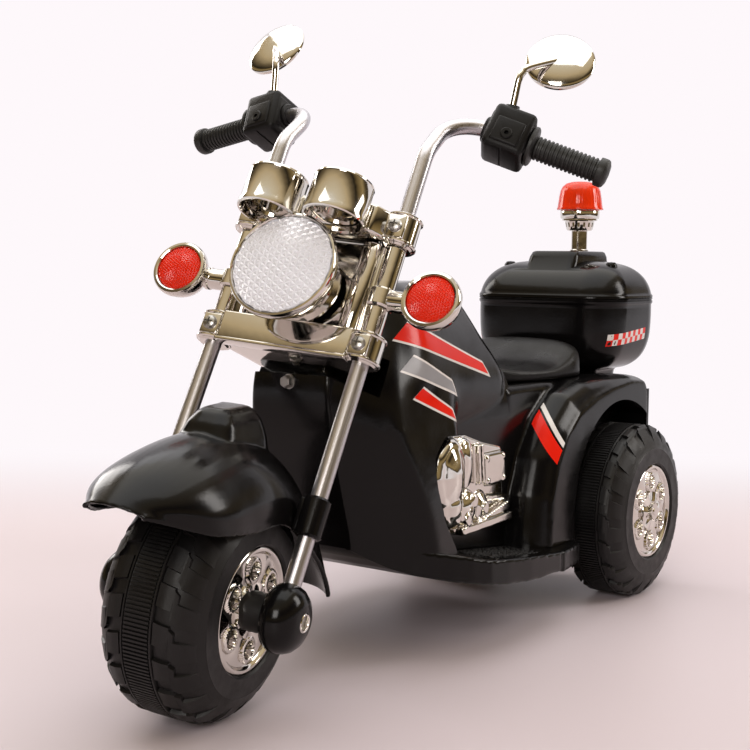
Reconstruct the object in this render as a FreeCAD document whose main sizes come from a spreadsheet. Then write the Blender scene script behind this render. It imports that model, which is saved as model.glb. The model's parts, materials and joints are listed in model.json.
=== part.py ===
import FreeCAD, Part
import math
import os
import Sketcher
from FreeCAD import Placement, Rotation, Vector

# Ride-on chopper trike. X runs forward, Y to the left and Z up, from the floor under the rear axle.

# Driving sizes in millimetres and degrees
SIZES = {
    # Wheels and axles
    "wheel_diameter": 182,
    "wheelbase": 562,
    "rear_track": 216,
    "front_tyre_width": 90,
    "rear_tyre_width": 70,
    "tyre_wall": 4,
    "tread_wall": 6,
    "tyre_shoulder": 10,
    "tread_flat": 40,
    "rim_diameter": 100,
    "hub_diameter": 30,
    "wheel_web": 5,
    "front_hub_length": 116,
    "rear_hub_recess": 16,
    "axle_diameter": 10,
    "running_clearance": 0.05,
    "fit_clearance": 0.15,
    "seat_gap": 0.3,
    "nut_thickness": 7,
    "nut_across": 18,
    "hubcap_thickness": 4,
    "hubcap_recess": 3,
    "hubcap_hole": 15,
    "hubcap_hole_circle": 62,
    "hubcap_hole_count": 6,
    "axle_cap_diameter": 39,
    "axle_cap_length": 20,
    # Fork and steering
    "fork_rake": 28,
    "steer_rest_angle": 11.5,
    "steer_setback": 80,
    "fork_spread": 137,
    "fork_tube": 14,
    "tube_wall": 1.2,
    "fork_foot": 14,
    "lower_clamp_base": 207,
    "lower_clamp_height": 27,
    "clamp_spacing": 105,
    "upper_clamp_height": 30,
    "clamp_depth": 30,
    "clamp_end": 14,
    "stem_diameter": 16,
    "stem_depth": 30,
    "bush_wall": 2.5,
    "bush_flange": 15,
    "head_tube_wall": 4.5,
    "clamp_gap": 3,
    "sleeve_base": 63,
    "sleeve_length": 32,
    "sleeve_diameter": 22,
    "nacelle_depth": 18,
    # Lamps and gauges
    "headlight_diameter": 92,
    "headlight_depth": 42,
    "headlight_dome": 6,
    "headlight_rise": 58,
    "lamp_wall": 2.5,
    "signal_diameter": 49,
    "signal_depth": 27,
    "signal_dome": 5,
    "signal_spread": 234,
    "signal_rise": 59,
    "signal_back": 12,
    "signal_arm": 10,
    "gauge_diameter": 53,
    "gauge_length": 32,
    "gauge_spread": 60,
    "gauge_forward": 47.5,
    # Handlebar, switch boxes, grips and mirrors
    "bar_bend_drop": 46.5,
    "bar_bend_radius": 36,
    "bar_back": 46,
    "bar_spread": 236,
    "bar_rise": 140.5,
    "bar_sweep": 16.2,
    "bar_droop": 9,
    "bar_lead": 53,
    "switch_length": 38,
    "switch_height": 42,
    "switch_depth": 38,
    "switch_round": 5,
    "grip_length": 70,
    "grip_diameter": 21,
    "grip_flange": 35,
    "grip_bead": 25,
    "mirror_diameter": 61,
    "mirror_dome": 10,
    "mirror_stalk": 6.4,
    "mirror_socket": 8,
    "mirror_bend_radius": 12,
    "button_diameter": 14,
    "button_stand": 4,
    "button_travel": 3,
    # Front fender
    "fender_half_width": 56,
    "fender_wall": 3,
    "fender_crown": 34,
    "hump_diameter": 54,
    "hump_height": 19,
    # Body shells
    "body_wall": 3,
    "body_round": 14,
    "tray_floor": 55,
    "board_height": 76,
    "cowl_base": 100,
    "tray_rim": 5,
    "tray_wall": 2.5,
    "floor_thickness": 4,
    "tray_half_width": 127,
    "nose_setback": 158,
    "pod_half_width": 68,
    "cowl_rear": 292,
    "body_split": 176,
    "tank_top": 334,
    "neck_rise": 22.2,
    "neck_lead": 27.3,
    "shield_level": 211,
    "tank_base": 221,
    "tank_front_setback": 56,
    "deck_height": 215,
    "seat_deck": 232,
    "seat_rear": 28,
    "tail_end": -72,
    "fender_half_span": 113,
    "arch_clearance": 22,
    # Seat and engine covers
    "seat_half_width": 72,
    "seat_thickness": 14,
    "seat_lip": 40,
    "engine_length": 100,
    "engine_height": 90,
    "engine_depth": 14,
    "engine_base": 103,
    "engine_start": 190,
    # Top case and beacon
    "case_front": 15,
    "case_rear": -139,
    "case_half_width": 99,
    "case_foot_half_width": 57,
    "case_seam": 313,
    "case_wall": 3,
    "case_round": 50,
    "lid_height": 41,
    "lid_rib_half_width": 30,
    "lid_rib_height": 11,
    "hinge_pin": 4,
    "hinge_width": 20,
    "beacon_position": -100,
    "pole_diameter": 19,
    "pole_height": 26.4,
    "collar_diameter": 34,
    "ring_diameter": 44,
    "beacon_diameter": 54,
    "beacon_base_height": 21,
    "beacon_height": 33,
    # Drive and electrics
    "battery_length": 70,
    "battery_width": 47,
    "battery_height": 100,
    "battery_start": 100,
    "gearbox_width": 30,
    "gearbox_radius": 34,
    "motor_diameter": 36,
    "motor_length": 58,
    "motor_forward": 52,
    "control_length": 70,
    "control_width": 50,
    "control_height": 18,
    "speaker_diameter": 57,
    "speaker_height": 20,
    "socket_diameter": 14,
    "socket_bore": 5.6,
    "socket_length": 16,
    "pedal_length": 70,
    "pedal_width": 36,
    "pedal_thickness": 8,
    "pedal_start": 205,
    "pedal_travel": 6,
    "rocker_length": 22,
    "rocker_width": 14,
    "screw_head": 8,
    "screw_height": 3,
}

doc = FreeCAD.newDocument("chopper_trike")
dims = doc.addObject("Spreadsheet::Sheet", "dims")
for row, (alias, value) in enumerate(SIZES.items(), start=1):
    dims.set(f"A{row}", alias)
    dims.set(f"B{row}", str(value))
    dims.setAlias(f"B{row}", alias)
doc.recompute()

X = Vector(1, 0, 0)
Y = Vector(0, 1, 0)
Z = Vector(0, 0, 1)
nodes = []


def size(alias):
    return float(dims.get(alias))


def at(x, y, z, axis=Z, angle=0):
    return Placement(Vector(x, y, z), Rotation(axis, angle))


def placed(shape, placement):
    copy = shape.copy()
    copy.Placement = placement.multiply(copy.Placement)
    return copy


def formed(label, shape, placement=Placement()):
    piece = doc.addObject("Part::Feature", label)
    piece.Shape = shape
    piece.Placement = placement
    nodes.append(piece)
    return piece


def primitive(kind, label, placement, **bindings):
    piece = doc.addObject(kind, label)
    for name, expression in bindings.items():
        piece.setExpression(name, expression)
    piece.Placement = placement
    nodes.append(piece)
    return piece


# Solid of revolution about Z from (radius, height) points; a point marked "via" bends its run into an arc
def turned(profile):
    points = [Vector(entry[0], 0, entry[1]) for entry in profile]
    edges = []
    index = 0
    while index < len(points):
        start = points[index]
        middle = points[(index + 1) % len(points)]
        if len(profile[(index + 1) % len(points)]) == 3:
            end = points[(index + 2) % len(points)]
            edges.append(Part.Arc(start, middle, end).toShape())
            index += 2
        else:
            edges.append(Part.LineSegment(start, middle).toShape())
            index += 1
    solid = Part.Face(Part.Wire(edges)).revolve(Vector(), Z, 360)
    if solid.Volume < 0:
        solid.reverse()
    return solid


# Arc point and end point of a spherical cap that closes a turned profile on its axis
def dome(radius, base, top):
    rise = top - base
    ball = (radius ** 2 + rise ** 2) / (2 * rise)
    half_angle = math.atan2(radius, ball - rise) / 2
    return [(ball * math.sin(half_angle), top - ball * (1 - math.cos(half_angle)), "via"), (0, top)]


# Path of straight runs joined by tangent arcs of one radius
def bent_path(points, radius):
    edges = []
    start = points[0]
    for before, corner, after in zip(points, points[1:], points[2:]):
        back = (before - corner).normalize()
        ahead = (after - corner).normalize()
        half = back.getAngle(ahead) / 2
        bisector = (back + ahead).normalize()
        reach = radius / math.tan(half)
        middle = corner + bisector * (radius / math.sin(half) - radius)
        edges.append(Part.LineSegment(start, corner + back * reach).toShape())
        edges.append(Part.Arc(corner + back * reach, middle, corner + ahead * reach).toShape())
        start = corner + ahead * reach
    edges.append(Part.LineSegment(start, points[-1]).toShape())
    return Part.Wire(edges)


def swept_rod(path, radius):
    start = path.Edges[0]
    direction = start.tangentAt(start.FirstParameter)
    section = Part.Wire(Part.makeCircle(radius, start.valueAt(start.FirstParameter), direction))
    return path.makePipeShell([section], True, True)


# Closed outline with every corner rounded by an arc that leaves part of the shortest side straight
def rounded_outline(corners, radius):
    edges = []
    turns = []
    shortest = min((here - corners[index - 1]).Length for index, here in enumerate(corners))
    radius = min(radius, shortest * 0.45)
    for index, here in enumerate(corners):
        back = (corners[index - 1] - here).normalize()
        ahead = (corners[(index + 1) % len(corners)] - here).normalize()
        half = back.getAngle(ahead) / 2
        bisector = (back + ahead).normalize()
        reach = radius / math.tan(half)
        middle = here + bisector * (radius / math.sin(half) - radius)
        turns.append((here + back * reach, middle, here + ahead * reach))
    for index, turn in enumerate(turns):
        edges.append(Part.Arc(*turn).toShape())
        edges.append(Part.LineSegment(turn[2], turns[(index + 1) % len(turns)][0]).toShape())
    return Part.Wire(edges)


# Corners moved inwards by a wall, for an outline that runs counter-clockwise
def inset(corners, wall):
    moved = []
    for index, here in enumerate(corners):
        back = here - corners[index - 1]
        ahead = corners[(index + 1) % len(corners)] - here
        normal_back = Vector(-back.y, back.x, 0).normalize()
        normal_ahead = Vector(-ahead.y, ahead.x, 0).normalize()
        reach = wall / (1 + normal_back.dot(normal_ahead))
        moved.append(here + (normal_back + normal_ahead) * reach)
    return moved


# Straight-sided loft through level outlines given as (height, corners), drawn in by a wall
def stacked(levels, radius, wall=0, open_base=False, open_top=False):
    wires = []
    for index, (height, corners) in enumerate(levels):
        level = height
        if index == 0:
            level += wall if not open_base else -1
        if index == len(levels) - 1:
            level -= wall if not open_top else -1
        points = inset([Vector(x, y, level) for x, y in corners], wall)
        wires.append(rounded_outline(points, radius - wall))
    return Part.makeLoft(wires, True, True)


def mirrored_outline(half):
    return [(x, -y) for x, y in half] + [(x, y) for x, y in reversed(half)]


def prism(points, direction):
    outline = Part.makePolygon(points + points[:1])
    return Part.Face(outline).extrude(direction)


def origin_plane(body, role):
    return next(item for item in body.Origin.OriginFeatures if item.Role == role)


def sketch_on(body, name, role):
    sketch = body.newObject("Sketcher::SketchObject", name)
    sketch.AttachmentSupport = [(origin_plane(body, role), "")]
    sketch.MapMode = "FlatFace"
    return sketch


# Closed outline in a sketch, each corner held by two sheet expressions
def draw_outline(sketch, corners):
    values = [(dims.evalExpression(x), dims.evalExpression(y)) for x, y in corners]
    for index, (x, y) in enumerate(values):
        after = values[(index + 1) % len(values)]
        sketch.addGeometry(Part.LineSegment(Vector(x, y, 0), Vector(after[0], after[1], 0)), False)
    for index in range(len(values)):
        sketch.addConstraint(Sketcher.Constraint("Coincident", index, 2, (index + 1) % len(values), 1))
    for index, (x, y) in enumerate(values):
        across, up = corners[index]
        for kind, value, expression in (("DistanceX", x, across), ("DistanceY", y, up)):
            held = sketch.addConstraint(Sketcher.Constraint(kind, -1, 1, index, 1, value))
            sketch.setExpression(f"Constraints[{held}]", expression)


# Circle in a sketch with its centre and radius held by sheet expressions
def draw_circle(sketch, across, up, radius):
    centre = Vector(dims.evalExpression(across), dims.evalExpression(up), 0)
    index = sketch.addGeometry(Part.Circle(centre, Z, dims.evalExpression(radius)), False)
    held = sketch.addConstraint(Sketcher.Constraint("Radius", index, dims.evalExpression(radius)))
    sketch.setExpression(f"Constraints[{held}]", radius)
    for kind, value, expression in (("DistanceX", centre.x, across), ("DistanceY", centre.y, up)):
        held = sketch.addConstraint(Sketcher.Constraint(kind, -1, 1, index, 3, value))
        sketch.setExpression(f"Constraints[{held}]", expression)


def new_body(label, placement):
    body = doc.addObject("PartDesign::Body", label)
    body.Placement = placement
    nodes.append(body)
    return body


def pad(body, sketch, length):
    feature = body.newObject("PartDesign::Pad", "pad")
    feature.Profile = sketch
    feature.setExpression("Length", length)
    return feature


def pocket_through(body, sketch):
    feature = body.newObject("PartDesign::Pocket", "pocket")
    feature.Profile = sketch
    feature.Type = "ThroughAll"
    feature.Reversed = True
    return feature


wheel_radius = size("wheel_diameter") / 2
axle_radius = size("axle_diameter") / 2
fit = size("fit_clearance")
gap = size("seat_gap")
running = size("running_clearance")

# The turned front wheel leans on the raked fork, so its axle sits where the leaning tyre meets the floor
rake = math.radians(size("fork_rake"))
turn_angle = math.radians(size("steer_rest_angle"))
lean = math.asin(math.sin(turn_angle) * math.sin(rake))
tread_half = size("tread_flat") / 2
axle_drop = size("steer_setback") * (1 - math.cos(turn_angle)) * math.sin(rake)
front_axle_height = wheel_radius * math.cos(lean) + tread_half * math.sin(lean) + axle_drop

# Fork frame: origin on the front axle, X square to the fork, Z up the fork, turned by the rest angle
fork_straight = at(size("wheelbase"), 0, front_axle_height, Y, -size("fork_rake"))
steer_turn = Placement(Vector(), Rotation(Z, size("steer_rest_angle")), Vector(-size("steer_setback"), 0, 0))
fork = fork_straight.multiply(steer_turn)
# Axle frame: the same origin with its axes level
front = fork.multiply(at(0, 0, 0, Y, size("fork_rake")))


# Tyres: moulded wheels with a tread band, side walls, a middle web and a hub tube
def tyre(label, width, hub_half, placement):
    body = new_body(label, placement)
    half = f"dims.{width} / 2"
    bore = "dims.axle_diameter / 2 + dims.running_clearance"
    tread = "dims.wheel_diameter / 2"
    band = "dims.wheel_diameter / 2 - dims.tread_wall"
    side = [
        (hub_half, bore),
        (hub_half, "dims.hub_diameter / 2"),
        ("dims.wheel_web / 2", "dims.hub_diameter / 2"),
        ("dims.wheel_web / 2", band),
        (f"{half} - dims.tyre_wall", band),
        (f"{half} - dims.tyre_wall", "dims.rim_diameter / 2"),
        (half, "dims.rim_diameter / 2"),
        (half, f"{tread} - dims.tyre_shoulder * 2.6"),
        (f"{half} - dims.tyre_shoulder", f"{tread} - dims.tyre_shoulder * 0.8"),
        ("dims.tread_flat / 2", tread),
    ]
    other = [(f"-({x})", y) for x, y in reversed(side)]
    sketch = sketch_on(body, f"{label}_section", "XY_Plane")
    draw_outline(sketch, side + other)
    turn = body.newObject("PartDesign::Revolution", "turn")
    turn.Profile = sketch
    turn.ReferenceAxis = (sketch, ["H_Axis"])
    turn.Angle = 360


# Hubcaps: plated discs in the rim openings, pierced by a ring of holes
def hubcap(label, hub_opening, placement):
    body = new_body(label, placement)
    disc = sketch_on(body, f"{label}_disc", "XY_Plane")
    draw_circle(disc, "0", "0", "dims.rim_diameter / 2 - dims.fit_clearance")
    if hub_opening:
        draw_circle(disc, "0", "0", "dims.hub_diameter / 2 + dims.fit_clearance")
    pad(body, disc, "dims.hubcap_thickness")
    hole = sketch_on(body, f"{label}_hole", "XY_Plane")
    draw_circle(hole, "dims.hubcap_hole_circle / 2", "0", "dims.hubcap_hole / 2")
    cut = pocket_through(body, hole)
    ring = body.newObject("PartDesign::PolarPattern", "ring")
    ring.Originals = [cut]
    ring.Axis = (origin_plane(body, "Z_Axis"), [""])
    ring.setExpression("Occurrences", "dims.hubcap_hole_count")
    body.Tip = ring


tyre("front_tyre", "front_tyre_width", "dims.front_hub_length / 2", front.multiply(at(0, 0, 0, Z, 90)))
cap_reach = size("hubcap_thickness") + size("hubcap_recess")
for side, name in ((1, "left"), (-1, "right")):
    track = side * size("rear_track") / 2
    tyre(f"rear_tyre_{name}", "rear_tyre_width", "dims.rear_tyre_width / 2 - dims.rear_hub_recess",
         at(0, track, wheel_radius, Z, 90))
    outer = track + side * (size("rear_tyre_width") / 2 - cap_reach)
    hubcap(f"rear_hubcap_{name}", False, at(0, outer, wheel_radius, X, -90 * side))
    front_outer = side * (size("front_tyre_width") / 2 - cap_reach)
    hubcap(f"front_hubcap_{name}", True, front.multiply(at(0, front_outer, 0, X, -90 * side)))

# Front axle between the fork feet, with a domed cap on each end
cap_seat = size("fork_spread") / 2 + size("fork_tube") / 2 + gap
front_axle_half = cap_seat + size("axle_cap_length") / 2
primitive("Part::Cylinder", "front_axle", front.multiply(at(0, -front_axle_half, 0, X, -90)),
          Radius="dims.axle_diameter / 2",
          Height="dims.fork_spread + dims.fork_tube + 2 * dims.seat_gap + dims.axle_cap_length")
cap_radius = size("axle_cap_diameter") / 2
cap_length = size("axle_cap_length")
axle_cap = turned([
    (axle_radius + fit, 0),
    (cap_radius, 0),
    (cap_radius, cap_length * 0.3),
    *dome(cap_radius, cap_length * 0.3, cap_length),
    (0, cap_length / 2 + fit),
    (axle_radius + fit, cap_length / 2 + fit),
])
formed("axle_caps", Part.makeCompound([
    placed(axle_cap, at(0, side * cap_seat, 0, X, -90 * side)) for side in (1, -1)]), front)

# Rear axle with a nut outside each hub
hub_face = size("rear_track") / 2 + size("rear_tyre_width") / 2 - size("rear_hub_recess")
rear_axle_half = hub_face + gap + size("nut_thickness")
primitive("Part::Cylinder", "rear_axle", at(0, -rear_axle_half, wheel_radius, X, -90),
          Radius="dims.axle_diameter / 2",
          Height="dims.rear_track + dims.rear_tyre_width - 2 * dims.rear_hub_recess + 2 * dims.seat_gap"
                 " + 2 * dims.nut_thickness")


def hex_nut(across, bore, thickness):
    corner = across / 2 / math.cos(math.pi / 6)
    points = [Rotation(Z, 60 * k).multVec(X * corner) for k in range(6)]
    return prism(points, Z * thickness).cut(Part.makeCylinder(bore, thickness))


axle_nut = hex_nut(size("nut_across"), axle_radius + fit, size("nut_thickness"))
formed("axle_nuts", Part.makeCompound([
    placed(axle_nut, at(0, side * (hub_face + gap), wheel_radius, X, -90 * side)) for side in (1, -1)]))

# Fork tubes from the axle to the upper clamp, drilled across for the axle
tube_radius = size("fork_tube") / 2
fork_half = size("fork_spread") / 2
lower_base = size("lower_clamp_base")
upper_base = lower_base + size("clamp_spacing")
joint_height = upper_base + size("upper_clamp_height") / 2
bar_height = upper_base + size("bar_rise")
headlight_height = lower_base + size("headlight_rise")
signal_height = lower_base + size("signal_rise")
for side, name in ((1, "left"), (-1, "right")):
    tube = Part.makeCylinder(tube_radius, joint_height + size("fork_foot"), Vector(0, 0, -size("fork_foot")))
    tube = tube.cut(Part.makeCylinder(tube_radius - size("tube_wall"), joint_height + size("fork_foot"),
                                      Vector(0, 0, -size("fork_foot"))))
    eye = Part.makeCylinder(axle_radius + fit, size("fork_tube") * 2, Vector(0, -size("fork_tube"), 0), Y)
    formed(f"fork_tube_{name}", tube.cut(eye), fork.multiply(at(0, side * fork_half, 0)))

# Handlebar tubes, bent back and then out to the grips
bar_direction = Rotation(Z, size("bar_sweep")).multVec(Rotation(X, -size("bar_droop")).multVec(Y))
bar_centre = Vector(-size("bar_back"), size("bar_spread") / 2, bar_height)
bar_end = size("switch_length") / 2 + size("grip_length") - 5


def mirrored(vector, side):
    return Vector(vector.x, vector.y * side, vector.z)


def bar_frame(side):
    direction = mirrored(bar_direction, side) * side
    return Placement(mirrored(bar_centre, side), Rotation(Y, direction))


for side, name in ((1, "left"), (-1, "right")):
    stations = [
        Vector(0, fork_half, joint_height),
        Vector(0, fork_half, bar_height - size("bar_bend_drop")),
        bar_centre - bar_direction * size("bar_lead"),
        bar_centre + bar_direction * bar_end,
    ]
    path = bent_path([mirrored(point, side) for point in stations], size("bar_bend_radius"))
    bar = swept_rod(path, tube_radius).cut(swept_rod(path, tube_radius - size("tube_wall")))
    formed(f"handlebar_{name}", bar, fork)

# Clamps: plated yokes that grip both tubes; the lower one carries the stem


def clamp(label, base, height, outline):
    body = new_body(label, fork.multiply(at(0, 0, base)))
    plate = sketch_on(body, f"{label}_plate", "XY_Plane")
    draw_outline(plate, outline)
    pad(body, plate, height)
    holes = sketch_on(body, f"{label}_holes", "XY_Plane")
    for sign in ("", "-"):
        draw_circle(holes, "0", f"{sign}dims.fork_spread / 2", "dims.fork_tube / 2 + dims.fit_clearance")
    if label == "lower_clamp":
        draw_circle(holes, "-dims.steer_setback", "0", "dims.stem_diameter / 2 + dims.fit_clearance")
    else:
        for sign in ("", "-"):
            draw_circle(holes, "dims.gauge_forward", f"{sign}dims.gauge_spread / 2",
                        "dims.gauge_diameter / 2 + dims.fit_clearance")
    pocket_through(body, holes)


depth = "dims.clamp_depth / 2"
reach = "dims.fork_spread / 2 + dims.clamp_end"
shoulder = "dims.fork_spread / 2 - dims.clamp_end"
yoke_back = "-(dims.steer_setback + dims.stem_diameter)"
clamp("lower_clamp", lower_base, "dims.lower_clamp_height", [
    (depth, f"-({reach})"), (depth, reach), (f"-({depth})", reach),
    (yoke_back, "dims.stem_diameter"), (yoke_back, "-dims.stem_diameter"), (f"-({depth})", f"-({reach})")])
cradle = "dims.gauge_forward - dims.clamp_depth / 3"
clamp("upper_clamp", upper_base, "dims.upper_clamp_height", [
    (depth, f"-({reach})"), (depth, f"-({shoulder} + 5)"), (cradle, f"-({shoulder})"), (cradle, shoulder),
    (depth, f"{shoulder} + 5"), (depth, reach), (f"-({depth})", reach), (f"-({depth})", f"-({reach})")])

# Round-headed screws on the front of the clamps, over the tubes
screw_head = Part.makeCylinder(size("screw_head") / 2, size("screw_height"))
screw_places = []
for side in (1, -1):
    for base, height in ((lower_base, "lower_clamp_height"), (upper_base, "upper_clamp_height")):
        level = base + size(height) / 2
        screw_places.append(at(size("clamp_depth") / 2, side * fork_half, level, Y, 90))
formed("clamp_screws", Part.makeCompound([placed(screw_head, place) for place in screw_places]), fork)

# Nacelle plate that closes the fork between the clamps and carries the headlight
nacelle_base = lower_base + size("lower_clamp_height")
primitive("Part::Box", "nacelle",
          fork.multiply(at(-size("nacelle_depth") / 2, -fork_half + tube_radius + fit, nacelle_base)),
          Length="dims.nacelle_depth",
          Width="dims.fork_spread - dims.fork_tube - 2 * dims.fit_clearance",
          Height="dims.clamp_spacing - dims.lower_clamp_height")

# Steering stem, its nut and the two bushes in the neck
stem_radius = size("stem_diameter") / 2
stem_base = lower_base - size("clamp_gap") - size("stem_depth")
neck_level = lower_base - size("clamp_gap")
stem_nut_base = stem_base - gap - size("nut_thickness")
axis_shift = -size("steer_setback")
primitive("Part::Cylinder", "steering_stem", fork.multiply(at(axis_shift, 0, stem_nut_base)),
          Radius="dims.stem_diameter / 2",
          Height="dims.stem_depth + dims.clamp_gap + dims.lower_clamp_height + dims.seat_gap"
                 " + dims.nut_thickness")
stem_nut = hex_nut(size("stem_diameter") + 6, stem_radius + fit, size("nut_thickness"))
formed("stem_nut", stem_nut, fork.multiply(at(axis_shift, 0, stem_nut_base)))
bush_radius = stem_radius + size("bush_wall")
half_bush = size("stem_depth") / 2
bush_bore = Part.makeCylinder(stem_radius + running, size("stem_depth") * 2)
upper_bush = Part.makeCylinder(bush_radius, half_bush - gap, Vector(0, 0, half_bush + gap))
upper_bush = upper_bush.fuse(Part.makeCylinder(size("bush_flange"), size("clamp_gap") - gap,
                                               Vector(0, 0, size("stem_depth"))))
lower_bush = Part.makeCylinder(bush_radius, half_bush)
head_frame = fork_straight.multiply(at(axis_shift, 0, stem_base))
upper_bush = upper_bush.cut(bush_bore).removeSplitter()
formed("head_bushes", Part.makeCompound([upper_bush, lower_bush.cut(bush_bore)]), head_frame)

# Headlight bucket and lens, both turned about the lamp's axis
lamp_radius = size("headlight_diameter") / 2
lamp_depth = size("headlight_depth")
lamp_wall = size("lamp_wall")
bucket = turned([
    (0, 0),
    (lamp_radius * 0.45, 0),
    (lamp_radius * 0.8, lamp_depth * 0.3, "via"),
    (lamp_radius, lamp_depth * 0.8),
    (lamp_radius, lamp_depth),
    (lamp_radius - lamp_wall, lamp_depth),
    (lamp_radius - lamp_wall, lamp_depth * 0.8),
    (lamp_radius * 0.8 - lamp_wall, lamp_depth * 0.3 + lamp_wall, "via"),
    (lamp_radius * 0.45 - lamp_wall, lamp_wall),
    (0, lamp_wall),
])
lamp_frame = fork.multiply(at(size("nacelle_depth") / 2, 0, headlight_height, Y, 90))
formed("headlight_bucket", bucket, lamp_frame)
lens_radius = lamp_radius - lamp_wall - fit
lens = turned([
    (0, lamp_depth * 0.85),
    (lens_radius, lamp_depth * 0.85),
    (lens_radius, lamp_depth),
    *dome(lens_radius, lamp_depth, lamp_depth + size("headlight_dome")),
])
formed("headlight_lens", lens, lamp_frame)

# Turn signals: a bowl on an arm from a ring round the fork tube, with a domed lens
signal_radius = size("signal_diameter") / 2
signal_depth = size("signal_depth")
bowl = turned([
    (0, 0),
    (signal_radius * 0.35, 0),
    (signal_radius * 0.84, signal_depth * 0.3, "via"),
    (signal_radius, signal_depth * 0.8),
    (signal_radius, signal_depth),
    (signal_radius - lamp_wall, signal_depth),
    (signal_radius - lamp_wall, signal_depth * 0.8),
    (signal_radius * 0.84 - lamp_wall, signal_depth * 0.3 + lamp_wall, "via"),
    (signal_radius * 0.35 - lamp_wall, lamp_wall),
    (0, lamp_wall),
])
signal_lens_radius = signal_radius - lamp_wall - fit
signal_lens = turned([
    (0, signal_depth * 0.85),
    (signal_lens_radius, signal_depth * 0.85),
    (signal_lens_radius, signal_depth),
    *dome(signal_lens_radius, signal_depth, signal_depth + size("signal_dome")),
])
ring_height = size("signal_arm") + 6
for side, name in ((1, "left"), (-1, "right")):
    signal_place = at(-size("signal_back"), side * size("signal_spread") / 2, signal_height, Y, 90)
    ring_place = Vector(0, side * fork_half, signal_height - ring_height / 2)
    ring = Part.makeCylinder(tube_radius + 5, ring_height, ring_place)
    arm_start = side * (fork_half + tube_radius + 1)
    arm_length = size("signal_spread") / 2 - signal_radius * 0.8 - fork_half - tube_radius - 1
    arm_root = Vector(0, arm_start, signal_height)
    arm = Part.makeCylinder(size("signal_arm") / 2, arm_length, arm_root, Y * side)
    housing = placed(bowl, signal_place).fuse([ring, arm])
    housing = housing.cut(Part.makeCylinder(tube_radius + fit, ring_height, ring_place))
    # A flat on the ring's inner side clears the nacelle plate
    relief = Part.makeBox(ring_height * 2, fork_half, ring_height)
    relief_start = side * (fork_half - tube_radius) - (fork_half if side > 0 else 0)
    relief.translate(Vector(-ring_height, relief_start, ring_place.z))
    formed(f"signal_housing_{name}", housing.cut(relief).removeSplitter(), fork)
    formed(f"signal_lens_{name}", signal_lens, fork.multiply(signal_place))

# Gauge cups in the cradles of the upper clamp, open towards the rider
gauge_radius = size("gauge_diameter") / 2
gauge_length = size("gauge_length")
gauge = turned([
    (0, 0),
    (gauge_radius - 4, 0),
    (gauge_radius, 6),
    (gauge_radius, gauge_length),
    (gauge_radius - 3, gauge_length),
    (gauge_radius - 3, gauge_length - 4),
    (0, gauge_length - 4),
])
for side, name in ((1, "left"), (-1, "right")):
    formed(f"gauge_{name}", gauge, fork.multiply(
        at(size("gauge_forward"), side * size("gauge_spread") / 2, upper_base)))

# Switch boxes on the bars, with a socket for the mirror and a well for the button
switch_half = size("switch_length") / 2
mirror_radius = size("mirror_stalk") / 2
mirror_base = bar_centre + Vector(11, 0, size("switch_height") / 2)
mirror_bend = mirror_base + Vector(13, 3, 33)
mirror_centre = mirror_base + Vector(-12, 26, 62)
stalk_direction = (mirror_bend - mirror_base).normalize()
button_radius = size("button_diameter") / 2
button_inside = 6
box_shape = Part.makeBox(size("switch_depth"), size("switch_length"), size("switch_height"),
                         Vector(-size("switch_depth") / 2, -switch_half, -size("switch_height") / 2))
box_shape = box_shape.makeFillet(size("switch_round"), box_shape.Edges)
bar_hole = Part.makeCylinder(tube_radius + fit, size("switch_length"), Vector(0, -switch_half, 0), Y)
box_shape = box_shape.cut(bar_hole)
well_depth = button_inside + size("button_travel") + 1
well = Part.makeCylinder(button_radius + gap, well_depth, Vector(-size("switch_depth") / 2, 0, 0), X)
button_length = size("button_stand") + button_inside
grip_radius = size("grip_diameter") / 2
grip_length = size("grip_length")
grip = turned([
    (tube_radius + fit, 0),
    (size("grip_flange") / 2, 0),
    (size("grip_flange") / 2, 4),
    (grip_radius, 5),
    (grip_radius, grip_length - 8),
    (size("grip_bead") / 2, grip_length - 6),
    (size("grip_bead") / 2, grip_length),
    (0, grip_length + 3),
    (0, grip_length - 4),
    (tube_radius + fit, grip_length - 4),
])
mirror_disc = turned([
    (0, 0),
    (size("mirror_diameter") / 2, 0),
    (size("mirror_diameter") / 2, 3),
    *dome(size("mirror_diameter") / 2, 3, size("mirror_dome")),
])
for side, name, button in ((1, "left", "horn_button"), (-1, "right", "music_button")):
    frame = bar_frame(side)
    socket_start = mirrored(mirror_base - stalk_direction * size("mirror_socket"), side)
    socket = Part.makeCylinder(mirror_radius + running, size("mirror_socket") * 2, socket_start,
                               mirrored(stalk_direction, side))
    case = placed(box_shape.cut(well), frame).cut(socket)
    formed(f"switch_box_{name}", case, fork)
    formed(button, Part.makeCylinder(button_radius, button_length), fork.multiply(frame).multiply(
        at(-size("switch_depth") / 2 - size("button_stand"), 0, 0, Y, 90)))
    grip_place = at(0, side * (switch_half + gap), 0, X, -90 * side)
    formed(f"grip_{name}", grip, fork.multiply(frame).multiply(grip_place))
    stalk_points = [socket_start, mirrored(mirror_bend, side), mirrored(mirror_centre, side)]
    stalk = swept_rod(bent_path(stalk_points, size("mirror_bend_radius")), mirror_radius)
    # The glass faces the rider and the plated dome faces forward
    facing = Vector(0.97, 0.2 * side, 0.12)
    disc_centre = mirrored(mirror_centre, side) - facing * size("mirror_dome") * 0.5
    disc_place = Placement(disc_centre, Rotation(Z, facing))
    formed(f"mirror_{name}", stalk.fuse(placed(mirror_disc, disc_place)).removeSplitter(), fork)


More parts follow.
